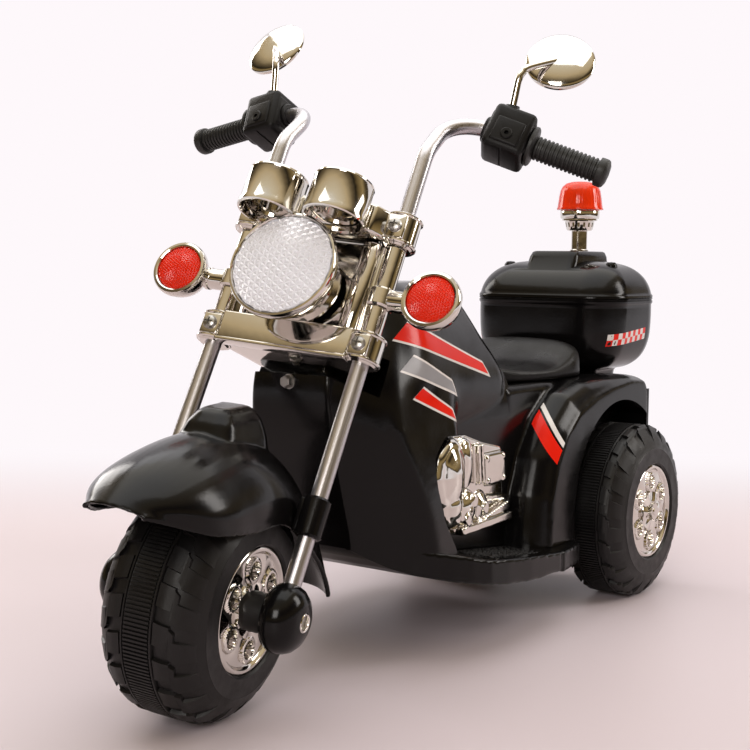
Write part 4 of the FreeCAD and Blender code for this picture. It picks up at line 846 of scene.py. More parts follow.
# Top case: a gloss black blow-moulded tub bolted to the deck, closed by a lid along a thin flanged seam.
# The lid swings back on a steel pin behind it, and carries a raised middle rib and two small stops.
case_middle, case_wall, corner_share = -68, 3, 0.6
seam_half, flange_half = (70, 89.4), (71, 90.6)
tub_levels = ((215.3, 46, 49), (222, 47, 50), (232, 48, 52), (235, 54, 62), (239, 59, 70), (246, 63.8, 78),
              (256, 67.4, 84), (270, 69.4, 88), (290, 70, 89.4), (306, 70, 89.4))
lid_levels = ((313.3, 70, 89.4), (320, 68.8, 88.8), (328, 64.6, 86.6), (336, 57.4, 82.6), (343, 48, 76.4),
              (348.5, 37, 68), (352, 24, 57), (354, 12, 44))
tub_flange = ((307.2, -0.6), (308, 0), (310.4, 0), (310.9, -0.8), (311.5, -0.8), (312, 0), (313, 0))
lid_flange = ((313.4, -0.5), (313.8, 0), (316.2, 0), (317, -0.6))
hinge = Vector(joints["lid_hinge"]["pos_m"]) / MM
along_pin = Matrix.Translation(hinge * MM) @ sideways()
knuckle_radius, knuckle_half, knuckle_root = 3.6, 10, 7.2
ear_gap, ear_drop, root_drop = 0.3, 16, 4.3
pin_reach, tub_pin_bore, lid_pin_bore = 21, 2.15, 2.1
tub_floor, tub_inner_top, lid_inner_low, lid_outer_low, lid_least = 240, 304, 318, 317.5, 5


def plan_ring(level, half_length, half_width):
    corners = [(case_middle + x * half_length, y * half_width) for x, y in ((-1, -1), (1, -1), (1, 1), (-1, 1))]
    return [Vector((p.x, p.y, level)) * MM for p in rounded(corners, half_length * corner_share, 26)]


# Rings at levels, each let out from a plan of the case
def let_out(half, levels):
    return [plan_ring(level, half[0] + out, half[1] + out) for level, out in levels]


# Pieces that share one skin
def joined(name, parts):
    first, *others = parts
    for other in others:
        combine(first, other, "UNION")
        bake(first)
        bpy.data.objects.remove(other)
    first.name = name
    return first


tub_outer = smooth_between(tub_levels, 30)
tub_rings = [plan_ring(*level) for level in tub_outer] + let_out(flange_half, tub_flange)
tub_rings += let_out(seam_half, ((313, -case_wall), (306, -case_wall)))
tub_rings += [plan_ring(level + case_wall * (level < tub_floor), long - case_wall, wide - case_wall)
              for level, long, wide in reversed(tub_outer) if level < tub_inner_top]
tub = [piece_from("tub", loft(tub_rings))]
for side in (1, -1):
    low, high = sorted((side * (knuckle_half + ear_gap), side * (2 * knuckle_half + ear_gap)))
    back, foot = hinge.x - knuckle_radius, hinge.z - ear_drop
    tub.append(plug("ear", knuckle_radius, low, high, along_pin, 32))
    tub.append(block("stalk", (back, low, foot), (hinge.x + knuckle_radius, high, hinge.z)))
    tub.append(block("root", (back, low, foot), (hinge.x + knuckle_root, high, hinge.z - root_drop)))
tub = joined("box_tub_shell", tub)
cut_by(tub, plug("pin_way", tub_pin_bore, -pin_reach, pin_reach, along_pin, 24))
settle(tub, "chassis", "black_gloss", gloss_black, "box_tub", crease=42)
dress(steel, "lid_pin")

lid_outer = smooth_between(lid_levels, 26)
lid_rings = [plan_ring(level - case_wall, max(long - case_wall, lid_least), max(wide - case_wall, lid_least))
             for level, long, wide in reversed(lid_outer) if level > lid_inner_low]
lid_rings += let_out(seam_half, ((313.4, -case_wall),)) + let_out(flange_half, lid_flange)
lid_rings += [plan_ring(*level) for level in lid_outer if level[0] > lid_outer_low]
rib_levels = ((326, -123, -13, 31.5), (342, -121, -21, 31), (359, -118, -30, 30), (364, -116, -33.5, 28.5),
              (365.3, -114, -36, 26.5))
rib = level_loft([(level, [(back, half), (front, half)]) for level, back, front, half in rib_levels], 9)
lid = [piece_from("lid", loft(lid_rings)), piece_from("rib", rib)]
for y in (63.5, -63.5):
    lid.append(turned("stop", [(0, 338), (8, 338), (7, 350), (4.5, 353), (0, 353.6)], at(-52, y, 0), 32))
lid.append(plug("knuckle", knuckle_radius, -knuckle_half, knuckle_half, along_pin, 32))
lid.append(block("knuckle_root", (hinge.x, -knuckle_half, hinge.z - knuckle_radius),
                 (hinge.x + knuckle_root, knuckle_half, hinge.z + knuckle_radius)))
lid = joined("box_lid_shell", lid)
cut_by(lid, plug("pin_way", lid_pin_bore, -pin_reach, pin_reach, along_pin, 24))
settle(lid, "lid", "black_gloss", gloss_black, "box_lid", crease=42)

# Beacon: a plated pole, collar and ring screwed to the lid's rib, under a clear orange-red dome.
# The dome is injection-moulded with fine ribs and pressed into the ring.
beacon_x = -100
beacon_foot = at(beacon_x, 0, 0)
stand = [(0, 365.6), (10.8, 365.6), (10.8, 366.8), (9.2, 368), (9.2, 388.5), (14, 389.5), (15.2, 391), (17, 400),
         (20.4, 401), (20.4, 402.6), (22, 403.2), (22.4, 404.5), (22.8, 411), (22.2, 413), (0, 413)]
stand = turned("beacon_stand", stand, beacon_foot, 64)
slots, slot_count = bmesh.new(), 16
for step in range(slot_count):
    turn = beacon_foot @ Matrix.Rotation(2 * math.pi * step / slot_count, 4, "Z")
    box_mesh((15.4, -1.2, 393.5), (20, 1.2, 398.5), turn, slots)
cut_by(stand, piece_from("collar_slots", slots))
settle(stand, "lid", "plated", plated, "beacon_base", crease=30)


# Clear coloured polystyrene: glossy skin over a saturated body that lets some light through
def tinted_lens(name, colour, clear):
    material, tree, shader = finish(name, colour, {"IOR": 1.55, "Transmission Weight": clear,
                                                   "Specular IOR Level": 0.3})
    mottle(tree, shader, 7 * MM, 3.0, 0.1, 0.2)
    return material


orange_lens = tinted_lens("clear_orange_red", "#f2390f", 0.25)
lens_ribs, rib_depth = 36, 0.005
ribbed_inner, ribbed_outer, ribbed_low = 8, 25.95, 415
dome_profile = [(0, 413.3), (26.6, 413.3), (26.8, 414.4), (26, 416), (25.2, 421), (24.3, 428), (23, 435), (20.6, 440),
                (16.5, 443.6), (10.5, 445.4), (5, 445.9), (0, 446)]
dome = lathe(dome_profile, beacon_foot, lens_ribs * 4)
for vert in dome.verts:
    local = vert.co / MM - Vector((beacon_x, 0, 0))
    if ribbed_inner < math.hypot(local.x, local.y) < ribbed_outer and local.z > ribbed_low:
        wave = 1 - rib_depth * (1 + math.cos(lens_ribs * math.atan2(local.y, local.x)))
        vert.co = Vector((beacon_x + local.x * wave, local.y * wave, local.z)) * MM
settle(piece_from("beacon_dome", dome), "lid", "orange_lens", orange_lens, "beacon_lens", crease=50)

# Film prints: plain slanted bars, double bands and a chequer, cut from coloured vinyl film.
# Each patch is rubbed down on the finished shell and follows its curve, a quarter of a millimetre proud.
print_top, print_root, print_lift = 0.25, -0.4, 0.15
tank_bars = (((364, 293), (232, 254), 9, 4, "red"), ((368, 266), (300, 242), 8, 4, "grey"),
             ((358, 240), (306, 218), 6, 3, "red"))
bar_border, bar_start_cut, bar_end_cut = 2, 0.8, 2.5
bands = (("red", (44, 55), (24, 35)), ("white", (57, 61), (37, 41)))
band_near, band_far, band_centre, band_reach = 74, 105, (70, 120), 150
chequer_x, chequer_z, chequer_cell, chequer_climb = -14, 262, 6.4, 0.5
chequer_columns, chequer_rows = 12, 2
ray_start = 160

# Vinyl film: flat bright colours, about as glossy as the shell below
films = {colour: moulded_plastic(f"printed_film_{colour}", code, 0.14, 0.26, 0.03 * MM)
         for colour, code in (("red", "#dc1f0e"), ("white", "#dcd9d8"), ("grey", "#8f8f93"))}


def skin_of(piece):
    return BVHTree.FromPolygons([vert.co for vert in piece.data.vertices],
                                [face.vertices[:] for face in piece.data.polygons])


# Thin closed patch on a skin: start(u, v) gives a ray's origin and direction, in millimetres
def film_patch(mesh, skin, start, lift=0.0, rows=5, columns=24):
    sheets = {print_top + lift: [], print_root: []}
    for row in range(rows + 1):
        for sheet in sheets.values():
            sheet.append([])
        for column in range(columns + 1):
            origin, heading = start(column / columns, row / rows)
            spot, normal, _, _ = skin.ray_cast(origin * MM, heading)
            if spot is None:
                return
            out = normal if normal.dot(heading) < 0 else -normal
            for height, sheet in sheets.items():
                sheet[-1].append(mesh.verts.new(spot + out * height * MM))
    top, root = sheets.values()
    for sheet in (top, root):
        for near, far in zip(sheet, sheet[1:]):
            for index in range(columns):
                mesh.faces.new((near[index], near[index + 1], far[index + 1], far[index]))
    rim = [(0, column) for column in range(columns)] + [(row, columns) for row in range(rows)]
    rim += [(rows, column) for column in range(columns, 0, -1)] + [(row, 0) for row in range(rows, 0, -1)]
    for (row, column), (next_row, next_column) in zip(rim, rim[1:] + rim[:1]):
        mesh.faces.new((top[row][column], top[next_row][next_column], root[next_row][next_column], root[row][column]))


def between(corners, u, v):
    near = corners[0].lerp(corners[1], u)
    return near.lerp(corners[3].lerp(corners[2], u), v)


# Bar on the tank's side between two spots (x, z), wider at its start, with ends cut on a slant
def side_bar(first, last, half_first, half_last, side):
    first, last = Vector(first), Vector(last)
    run = (last - first).normalized()
    square = Vector((-run.y, run.x))
    start_cut, end_cut = run * half_first * bar_start_cut, run * half_last * bar_end_cut
    corners = [first + square * half_first - start_cut, last + square * half_last + end_cut,
               last - square * half_last, first - square * half_first + start_cut]

    def start(u, v):
        spot = between(corners, u, v)
        return Vector((spot.x, side * ray_start, spot.y)), Vector((0, -side, 0))
    return start


# Band over a rear fender, between bearings in degrees at the inner and the outer edge
def fender_band(inner, outer, side):
    def start(u, v):
        across = band_near + (band_far - band_near) * u
        first, last = (near + (far - near) * u for near, far in zip(inner, outer))
        bearing = math.radians(first * (1 - v) + last * v)
        ray = Vector((math.cos(bearing), 0, math.sin(bearing)))
        return Vector((band_centre[0], side * across, band_centre[1])) + ray * band_reach, -ray
    return start


def chequer_square(column, row, side):
    def start(u, v):
        along, up = column + u, chequer_cell * (row + v) + chequer_climb * (column + u)
        return Vector((chequer_x - chequer_cell * along, side * ray_start, chequer_z + up)), Vector((0, -side, 0))
    return start


cowl_skin, shell_skin, tub_skin = skin_of(cowl), skin_of(shell), skin_of(tub)
prints = {colour: bmesh.new() for colour in films}
for side in (1, -1):
    for first, last, wide, narrow, colour in tank_bars:
        film_patch(prints["white"], cowl_skin, side_bar(first, last, wide + bar_border, narrow + bar_border, side))
        film_patch(prints[colour], cowl_skin, side_bar(first, last, wide, narrow, side), print_lift)
    for colour, inner, outer in bands:
        film_patch(prints[colour], shell_skin, fender_band(inner, outer, side))
    for column in range(chequer_columns):
        for row in range(chequer_rows):
            colour = ("red", "white")[(column + row) % 2]
            film_patch(prints[colour], tub_skin, chequer_square(column, row, side), 0, 1, 1)
for colour, film in films.items():
    settle(piece_from(f"film_prints_{colour}", prints[colour]), "chassis", "black_gloss", film, crease=50)

# Fork: two drawn steel tubes held by plated yokes, with the stem and its nut behind the lower one.
# The yokes are plated mouldings with a round collar and a pad for a screw over each tube.
across_axle = Vector(joints["front_wheel_spin"]["axis"])
fork = Matrix((across_axle.cross(steer_axis), across_axle, steer_axis)).transposed().to_4x4()
fork.translation = front_hub
fork_half, fork_tube = 68.5, 7
collar_radius, bead_out = 14.5, 1.3
pad_back, pad_face, pad_half = 9, 15, 8.5
lower_yoke, upper_yoke = (207, 234), (312, 342)
tube_steel = drawn_steel("drawn_fork_steel", "#bfbdc1", fork.to_euler())
dress(tube_steel, "fork_tube_left", "fork_tube_right", "handlebar_left", "handlebar_right")
dress(steel, "steering_stem", "stem_nut", "front_axle")


# Sharp edges become round ones
def softened(piece, width, segments=3):
    bevel = piece.modifiers.new("soft_edge", "BEVEL")
    bevel.width = width
    bevel.segments = segments
    bevel.limit_method = "ANGLE"
    bevel.angle_limit = math.radians(35)
    return bake(piece)


# Prism through an outline across the fork
def fork_prism(name, outline, low, high, inset, segments=3):
    prism = loft([[fork @ (Vector((x, y, level)) * MM) for x, y in outline] for level in (low, high)])
    return softened(piece_from(name, prism), inset * MM, segments)


# Ring round a fork tube
def fork_ring(radius, low, high, inset, side):
    inner = fork_tube + 0.2
    profile = [(inner, low), (radius - inset, low), (radius, low + inset), (radius, high - inset),
               (radius - inset, high), (inner, high)]
    return turned("collar", profile, fork @ at(0, side * fork_half, 0), 56, loop=True)


def soft_block(name, low, high, inset, place=fork):
    return softened(block(name, low, high, place), inset * MM)


lower = [fork_prism("yoke", [(9, -62), (9, 62), (-10, 62), (-97, 17), (-97, -17), (-10, -62)], 209, 232, 3)]
upper = [fork_prism("bridge", [(12, -62), (26, -52), (26, 52), (12, 62), (-12, 62), (-12, -62)], 314, 340, 3)]
for side in (1, -1):
    middle = side * fork_half
    for group, (low, high) in ((lower, lower_yoke), (upper, upper_yoke)):
        group.append(fork_ring(collar_radius, low, high, 2.5, side))
        group.append(soft_block("pad", (pad_back, middle - pad_half, low + 4),
                                (pad_face, middle + pad_half, high - 4), 1.5))
        for start in (low + 1.5, high - 4.5):
            group.append(fork_ring(collar_radius + bead_out, start, start + 3, 1, side))
lower.append(soft_block("front_bar", (4, -60, 207), (14.5, 60, 234), 2))
lower.append(soft_block("foot_lip", (4, -60, 206.5), (16.2, 60, 210), 1))
settle(merged("lower_yoke_plate", lower), "steering", "plated", plated, "lower_clamp", crease=30)
settle(merged("upper_yoke_plate", upper), "steering", "plated", plated, "upper_clamp", crease=30)

# Clamp screws: four pan heads of plated steel with a cross recess, one on the front of each collar.
# They draw the yokes tight on the fork tubes.
screw_head = [(0, -1), (6, -1), (6, 1.4), (5.2, 3), (3.4, 4), (0, 4.3)]
slot_long, slot_wide = 3.4, 0.7
screws = []
for side in (1, -1):
    for low, high in (lower_yoke, upper_yoke):
        seat = fork @ at(pad_face, side * fork_half, (low + high) / 2) @ forward
        slots = [block("slot", (-x, -y, 2.2), (x, y, 6), seat)
                 for x, y in ((slot_long, slot_wide), (slot_wide, slot_long))]
        screws.append(cut_by(turned("head", screw_head, seat, 28), *slots))
settle(merged("clamp_screw_heads", screws), "steering", "steel", steel, "clamp_screws", crease=25)

# Nacelle: a plated panel moulded with two upright swells, held between the yokes.
# A half-round cover runs along each fork tube beside it.
panel_front, swell_across, swell_out, swell_half = 4, 50, 8, 9
nacelle_plan = [(-9, -61), (-9, 61), (panel_front, 61)]
for centre in (swell_across, -swell_across):
    swings = [math.pi * step / 10 for step in range(11)]
    nacelle_plan += [(panel_front + swell_out * math.sin(swing), centre + swell_half * math.cos(swing))
                     for swing in swings]
nacelle_plan += [(panel_front, -61)]
nacelle = [fork_prism("panel", nacelle_plan, 234.2, 311.8, 1.0, 2)]
nacelle += [fork_ring(8.9, *span, 0.8, side) for side in (1, -1) for span in ((234.3, 257.8), (274.2, 311.7))]
settle(merged("nacelle_panel", nacelle), "steering", "plated", plated, "nacelle", crease=35)

# Headlight: a plated bucket with stepped rings, screwed to the nacelle from behind.
# Its pale clear lens is moulded full of small prisms and snaps in behind the rim.
lamp_axis = fork @ at(9, 0, 265) @ forward
bucket = [(0, 0), (34, 0), (35.5, 1.5), (35.5, 4), (31, 5.5), (30.5, 9), (33, 14), (38, 21), (42.5, 27), (44.2, 31),
          (44.5, 34), (46, 35), (46.4, 37), (46.4, 41), (45.6, 42.6), (44, 42.8), (43, 41.5), (42.6, 36), (0, 30)]
settle(turned("headlight_bucket_plate", bucket, lamp_axis, 96), "steering", "plated", plated, "headlight_bucket",
       crease=30)

# Clear polystyrene, moulded as prisms: a pale sparkle that hides what is behind it
clear_prism, tree, shader = finish("clear_prism_ps", "#eef0fa", {"IOR": 1.55, "Transmission Weight": 0.1,
                                                                 "Coat Weight": 0.3})
mottle(tree, shader, 8 * MM, 3.0, 0.1, 0.24)
lens_wall, weld = 4, 1e-5


# Domed lens faced with small three-sided pyramids on a triangular grid
def prism_lens(name, place, radius, base, rise, pitch, tip):
    mesh = bmesh.new()
    reach = int(radius / pitch) + 2
    grid = {}

    def height(x, y):
        share = min(1.0, (x * x + y * y) / radius ** 2)
        return base + rise * (1 - share)

    for row in range(-reach, reach + 1):
        for column in range(-2 * reach, 2 * reach + 1):
            x = (column + row / 2) * pitch
            y = row * pitch * math.sqrt(3) / 2
            away = math.hypot(x, y)
            if away > radius + pitch * 0.8:
                continue
            if away > radius:
                x, y = x * radius / away, y * radius / away
            grid[row, column] = mesh.verts.new(place @ (Vector((x, y, height(x, y))) * MM))
    outward = place.to_3x3() @ Vector((0, 0, tip * MM))
    for (row, column), here in grid.items():
        keys = ((row, column + 1), (row + 1, column), (row - 1, column + 1))
        right, above, below = (grid.get(key) for key in keys)
        for corners in ((here, right, above), (here, below, right)):
            if None in corners:
                continue
            peak = mesh.verts.new((corners[0].co + corners[1].co + corners[2].co) / 3 + outward)
            for index in range(3):
                mesh.faces.new((corners[index], corners[(index + 1) % 3], peak))
    bmesh.ops.remove_doubles(mesh, verts=mesh.verts, dist=weld)
    rim = [edge for edge in mesh.edges if edge.is_boundary]
    walls = bmesh.ops.extrude_edge_only(mesh, edges=rim)["geom"]
    inward = place.to_3x3() @ Vector((0, 0, -lens_wall * MM))
    for vert in (item for item in walls if isinstance(item, bmesh.types.BMVert)):
        vert.co += inward
    back = [item for item in walls if isinstance(item, bmesh.types.BMEdge)]
    bmesh.ops.holes_fill(mesh, edges=back, sides=0)
    return piece_from(name, mesh)


lens = prism_lens("headlight_prism_lens", lamp_axis, 42.8, 41.5, 6.2, 6.0, 1.1)
settle(lens, "steering", "clear_lens", clear_prism, "headlight_lens", crease=4)

# Turn signals: plated bowls on round arms, each with a half ring clamped on its fork tube.
# The red lenses are diamond-cut and pressed into the bowls.
red_lens = tinted_lens("clear_signal_red", "#e5270a", 0.12)
signal_level, signal_back, signal_across = 266, -12, 117
bowl = [(0, 0), (7, 0), (13, 2.5), (18.5, 7), (21.8, 13), (23, 18), (23.2, 20), (24.7, 21), (25, 24), (24.7, 26.5),
        (23.8, 27.8), (21.6, 28.2), (20.4, 27.6), (19.9, 26), (19.7, 22), (0, 19)]
arm = [(0, fork_half + 5), (8.6, fork_half + 8), (9, fork_half + 10), (9, 91), (9.8, 92), (9.8, 95), (8.6, 96.5),
       (8.2, 101), (0, 101)]
for side, hand in hands:
    bowl_axis = fork @ at(signal_back, side * signal_across, signal_level) @ forward
    low, high = sorted((side * (fork_half - 7), side * (fork_half - 40)))
    half_ring = cut_by(fork_ring(12, 258, 274, 1.5, side), block("flat", (-30, low, 250), (30, high, 280), fork))
    housing = merged(f"signal_housing_{hand}_plate", [
        turned("bowl", bowl, bowl_axis, 64),
        turned("arm", arm, fork @ at(0, 0, signal_level) @ sideways(side), 36), half_ring])
    settle(housing, "steering", "plated", plated, f"signal_housing_{hand}", crease=30)
    lens = prism_lens(f"signal_lens_{hand}_red", bowl_axis, 19.7, 26.4, 5.2, 2.4, 0.4)
    settle(lens, "steering", "red_lens", red_lens, f"signal_lens_{hand}", crease=4)

# Gauges: two plated cups in the upper yoke, open to the rider.
# Each has a stepped foot and a bare dial moulded under its rim.
cup = [(0, 8), (9, 8), (9, 5), (11, 5), (11, 7), (18, 7), (19, 4), (21.5, 3.5), (22.6, 1.5), (23.2, -2), (24.2, -3),
       (25.8, -3), (26.5, -2), (26.5, 1), (25.9, 3), (25.2, 29.5), (25.6, 30.5), (25.2, 32), (23.8, 32), (23.4, 31),
       (23.2, 28), (0, 28)]
gauge_ahead, gauge_across, gauge_level = 47.5, 30, 312
for side, hand in hands:
    gauge = turned(f"gauge_{hand}_cup", cup, fork @ at(gauge_ahead, side * gauge_across, gauge_level), 72)
    settle(gauge, "steering", "plated", plated, f"gauge_{hand}", crease=30)

# Switch boxes: satin black ABS halves clamped on the bars, with a collar for the grip and one for the mirror.
# A sprung red button sits in a well on the rider's side.
bar_sweep, bar_droop = math.radians(16.2), math.radians(9)
bar_line = Matrix.Rotation(bar_sweep, 3, "Z") @ Matrix.Rotation(-bar_droop, 3, "X") @ Vector((0, 1, 0))
bar_middle = Vector((-46, 118, 452.5))
mirror_foot = Vector((-35, 118, 473.5))
stalk_run = Vector((13, 3, 33))
stalk_rise = stalk_run.normalized()
collar = [(0, -23), (10.5, -23), (11.5, -22), (11.5, 18), (0, 18)]
boss = [(0, 15), (5.2, 15), (5.2, 21.4), (4.4, 22), (0, 22)]
stalk_collar = [(0, -6), (7.5, -6), (7.5, 1.5), (6, 4), (0, 4)]
button_cap = [(0, 0.3), (4, 0), (5.8, 0.4), (6.7, 1.4), (7, 3), (7, 10), (0, 10)]

# ABS, moulded and polished: a small red cap that catches one highlight
button_red = moulded_plastic("moulded_button_red", "#b3150f", 0.15, 0.3, 0.04 * MM)


def handed(vector, side):
    return Vector((vector.x, vector.y * side, vector.z))


# Place at the middle of a handlebar's end, with local Y along the bar
def bar_place(side):
    direction = handed(bar_line, side) * side
    turn = Vector((0, 1, 0)).rotation_difference(direction).to_matrix().to_4x4()
    return fork @ Matrix.Translation(handed(bar_middle, side) * MM) @ turn


# Place in the fork's frame with local Z along a direction
def aimed(point, direction):
    turn = Vector((0, 0, 1)).rotation_difference(direction).to_matrix().to_4x4()
    return fork @ Matrix.Translation(point * MM) @ turn


for side, hand, button in ((1, "left", "horn_button"), (-1, "right", "music_button")):
    place = bar_place(side)
    along = place @ sideways(side)
    front = place @ at(0, 0, -7) @ forward
    foot = aimed(handed(mirror_foot, side), handed(stalk_rise, side))
    case = joined(f"switch_box_{hand}_case", [
        soft_block("box", (-19, -19, -21), (19, 19, 21), 5, place),
        soft_block("face", (13, -13, -16), (20.6, 13, 8), 2, place),
        soft_block("flange", (-15, -20, -15), (15, 20.2, 15), 3, place),
        turned("collar", collar, along, 40), turned("boss", boss, front, 32),
        turned("stalk_collar", stalk_collar, foot, 32)])
    seam = box_mesh((-25, -1, 20), (25, 1, 30), place)
    box_mesh((-25, -1, -30), (25, 1, -20), place, seam)
    cut_by(case, plug("well", 7.3, -30, -9, place @ forward, 40), piece_from("seam", seam),
           plug("driver", 2.2, 18.5, 30, front, 6), plug("bar_way", 7.15, -60, 60, along, 40),
           plug("stalk_way", 3.25, -9, 9, foot, 24))
    settle(case, "steering", "black_satin", satin_black, f"switch_box_{hand}", crease=30)
    settle(turned(f"{button}_cap", button_cap, place @ at(-23, 0, 0) @ forward, 40), button, "red_plastic",
           button_red, button, crease=35)

# Grips: ribbed black rubber sleeves pushed on the ends of the bars.
# Each has a hand stop at the switch box and a bead at the closed end.
grip_ribs, rib_pitch, grip_start = 15, 3.7, 19.3
sleeve = [(7.1, 0), (16.5, 0), (17.5, 0.8), (17.5, 3), (16.3, 4), (11.5, 4.6)]
for rib in range(grip_ribs):
    start = 6 + rib * rib_pitch
    sleeve += [(9.3, start), (10.4, start + 0.5), (10.6, start + 1.3), (10.4, start + 2.1), (9.3, start + 2.6)]
sleeve += [(9.4, 61.8), (12.2, 62.6), (12.5, 64), (12.5, 68.5), (11.6, 70.4), (8, 72), (0, 72.9), (0, 66), (7.1, 66)]

# Thermoplastic rubber, moulded: a dry black that spreads the light and shows only its ribs
grip_rubber, tree, shader = finish("moulded_grip_tpr", "#111111", {"IOR": 1.5})
mottle(tree, shader, 5 * MM, 4.0, 0.42, 0.6)
roughen(tree, shader, speckle(tree, 0.8 * MM).outputs["Fac"], 0.06 * MM)
for side, hand in hands:
    handle = bar_place(side) @ sideways(side) @ at(0, 0, grip_start)
    settle(turned(f"grip_{hand}_sleeve", sleeve, handle, 56, loop=True), "steering", "grip_rubber", grip_rubber,
           f"grip_{hand}", crease=45)

# Mirrors: plated discs with a domed back, each on a bent plated stalk that turns in its switch box.
# Disc and stalk are one moulding, and the disc's flat face looks back at the rider.
stalk_radius, disc_offset = 3.2, 5
disc_centre, disc_facing = Vector((-12, 26, 62)), Vector((0.97, 0.2, 0.12))
disc = [(0, 0.9), (28.2, 0.9), (28.6, 0.2), (29.6, 0), (30.5, 0.8), (30.5, 2.6), (29.8, 3.8), (27, 5.4), (22, 7.4),
        (15, 9), (8, 9.8), (0, 10)]


# Round rod through points in millimetres, carried along without twist
def rod(points, radius, place, sides=20, mesh=None):
    rows = []
    normal = None
    angles = [2 * math.pi * step / sides for step in range(sides)]
    for index, point in enumerate(points):
        ahead = (points[min(index + 1, len(points) - 1)] - points[max(index - 1, 0)]).normalized()
        normal = ahead.orthogonal() if normal is None else normal - ahead * normal.dot(ahead)
        normal.normalize()
        square = ahead.cross(normal)
        rows.append([place @ ((point + (normal * math.cos(angle) + square * math.sin(angle)) * radius) * MM)
                     for angle in angles])
    return loft(rows, mesh)


for side, hand in hands:
    foot, rise = handed(mirror_foot, side), handed(stalk_rise, side)
    bend, centre = foot + handed(stalk_run, side), foot + handed(disc_centre, side)
    toward = (centre - bend).normalized()
    bends = [foot - rise * 8, foot + rise * 10, bend - rise * 9, bend - rise * 3 + toward * 3, bend + toward * 9,
             centre - toward * 4, centre]
    stalk = rod([Vector(point) for point in smooth_between(bends, 40)], stalk_radius, fork, 24)
    facing = handed(disc_facing, side).normalized()
    mirror = merged(f"mirror_{hand}_disc", (piece_from("stalk", stalk), turned(
        "disc", disc, aimed(centre - facing * disc_offset, facing), 72)))
    settle(mirror, f"mirror_{hand}", "plated", plated, f"mirror_{hand}", crease=30)

# Front fender: a long gloss black blow-moulded shell over the wheel, with a hump on its crown and a rolled lip.
# Sleeves on the fork legs hold its sides.
axle_level = fork @ Matrix.Rotation(fork_rake, 4, "Y")
fender_clear, fender_half, fender_wall, fender_lip = 125, 56, 3, 2.4
fender_voxel = 1.5 * MM
fender_stations = ((36, 42, 31, 0.45), (46, 33, -20, 0.95), (70, 14, -51, 1), (105, 3, -56, 1),
                   (145, -4, -54, 1.02), (185, 4, -30, 1.1))
hump_levels = ((112, -42, 30, 31), (128, -40, 26, 28), (140, -37, 19, 23), (147, -33, 12, 17), (150, -28, 6, 12))
hump_taper, hump_corner = 0.8, 0.5


# Arc across the fender at an angle round the axle, from lip to lip over the crown
def fender_arc(angle, crown, lip, share, wall, steps=28):
    outward = Vector((math.cos(math.radians(angle)), 0, math.sin(math.radians(angle))))
    half = fender_half * share - wall
    crown, lip = fender_clear + crown - wall, fender_clear + lip
    rise = crown - lip
    ball = (half ** 2 + rise ** 2) / (2 * rise)
    reach = math.atan2(half, ball - rise)
    arc = []
    for step in range(steps + 1):
        bearing = reach * (1 - 2 * step / steps)
        arc.append(outward * (crown - ball + ball * math.cos(bearing)) + Vector((0, ball * math.sin(bearing), 0)))
    return arc


stations = smooth_between(fender_stations, 64)
rings = []
for station in stations:
    ring = fender_arc(*station, 0) + list(reversed(fender_arc(*station, fender_wall)))
    rings.append([axle_level @ (point * MM) for point in ring])
fender = loft(rings)
hump_rings = []
for level, back, front, half in hump_levels:
    nose = half * hump_taper
    plan = rounded([(back, -half), (front, -nose), (front, nose), (back, half)], half * hump_corner)
    hump_rings.append([axle_level @ (Vector((p.x, p.y, level)) * MM) for p in plan])
loft(hump_rings, fender)
for edge in (0, -1):
    rod([fender_arc(*station, fender_wall / 2)[edge] for station in stations], fender_lip, axle_level, 10, fender)
fender = melt(piece_from("front_fender_shell", fender), fender_voxel, 4)
settle(fender, "steering", "black_gloss", gloss_black, "front_fender", crease=60)
sleeves = []
for side in (1, -1):
    low, high = sorted((side * 56.4, side * 62))
    sleeves += [fork_ring(11, 63, 95, 2, side), soft_block("tab", (-7, low, 65), (7, high, 93), 1.5)]
settle(merged("fender_sleeve_pair", sleeves), "steering", "black_gloss", gloss_black, "fender_sleeves", crease=35)

# Front wheel: the same moulded tyre made wider, with a plated cap each side round its long hub.
# Black domed caps with a plated ring close the axle outside the fork legs.
front_half, front_hub_half, front_web, front_cap_seat, front_cap_bore = 45, 58, 37, 39.5, 15.3
ball_seat = 60.2
ball = [(5.15, 0), (20, 0), (24.2, 1.4), (26.2, 4.6), (26.8, 9), (26.2, 14), (24.2, 19), (20.2, 23.2), (14.6, 26.2),
        (9, 27.6), (7.6, 27.8), (7.2, 25.6), (5.15, 25.2)]
ball_ring = [(5.2, 25), (7, 25), (7.5, 27.6), (6.8, 28.4), (5.6, 28), (5.2, 26.8)]
settle(tyre("front_tyre_tread", front_half, front_hub_half, front_web, axle_level), "front_wheel", "tyre_black",
       tyre_plastic, "front_tyre", crease=30)
caps, rings = [], []
for side, hand in hands:
    outward = axle_level @ sideways(side)
    cap = hubcap(f"front_hubcap_{hand}_plate", front_cap_bore, False, outward @ at(0, 0, front_cap_seat))
    settle(cap, "front_wheel", "plated", plated, f"front_hubcap_{hand}", crease=30)
    caps.append(turned("ball", ball, outward @ at(0, 0, ball_seat), 64, loop=True))
    rings.append(turned("ring", ball_ring, outward @ at(0, 0, ball_seat), 40, loop=True))
settle(merged("axle_cap_balls", caps), "steering", "black_satin", gloss_black, "axle_caps", crease=40)
settle(merged("axle_cap_rings", rings), "steering", "plated", plated, crease=30)

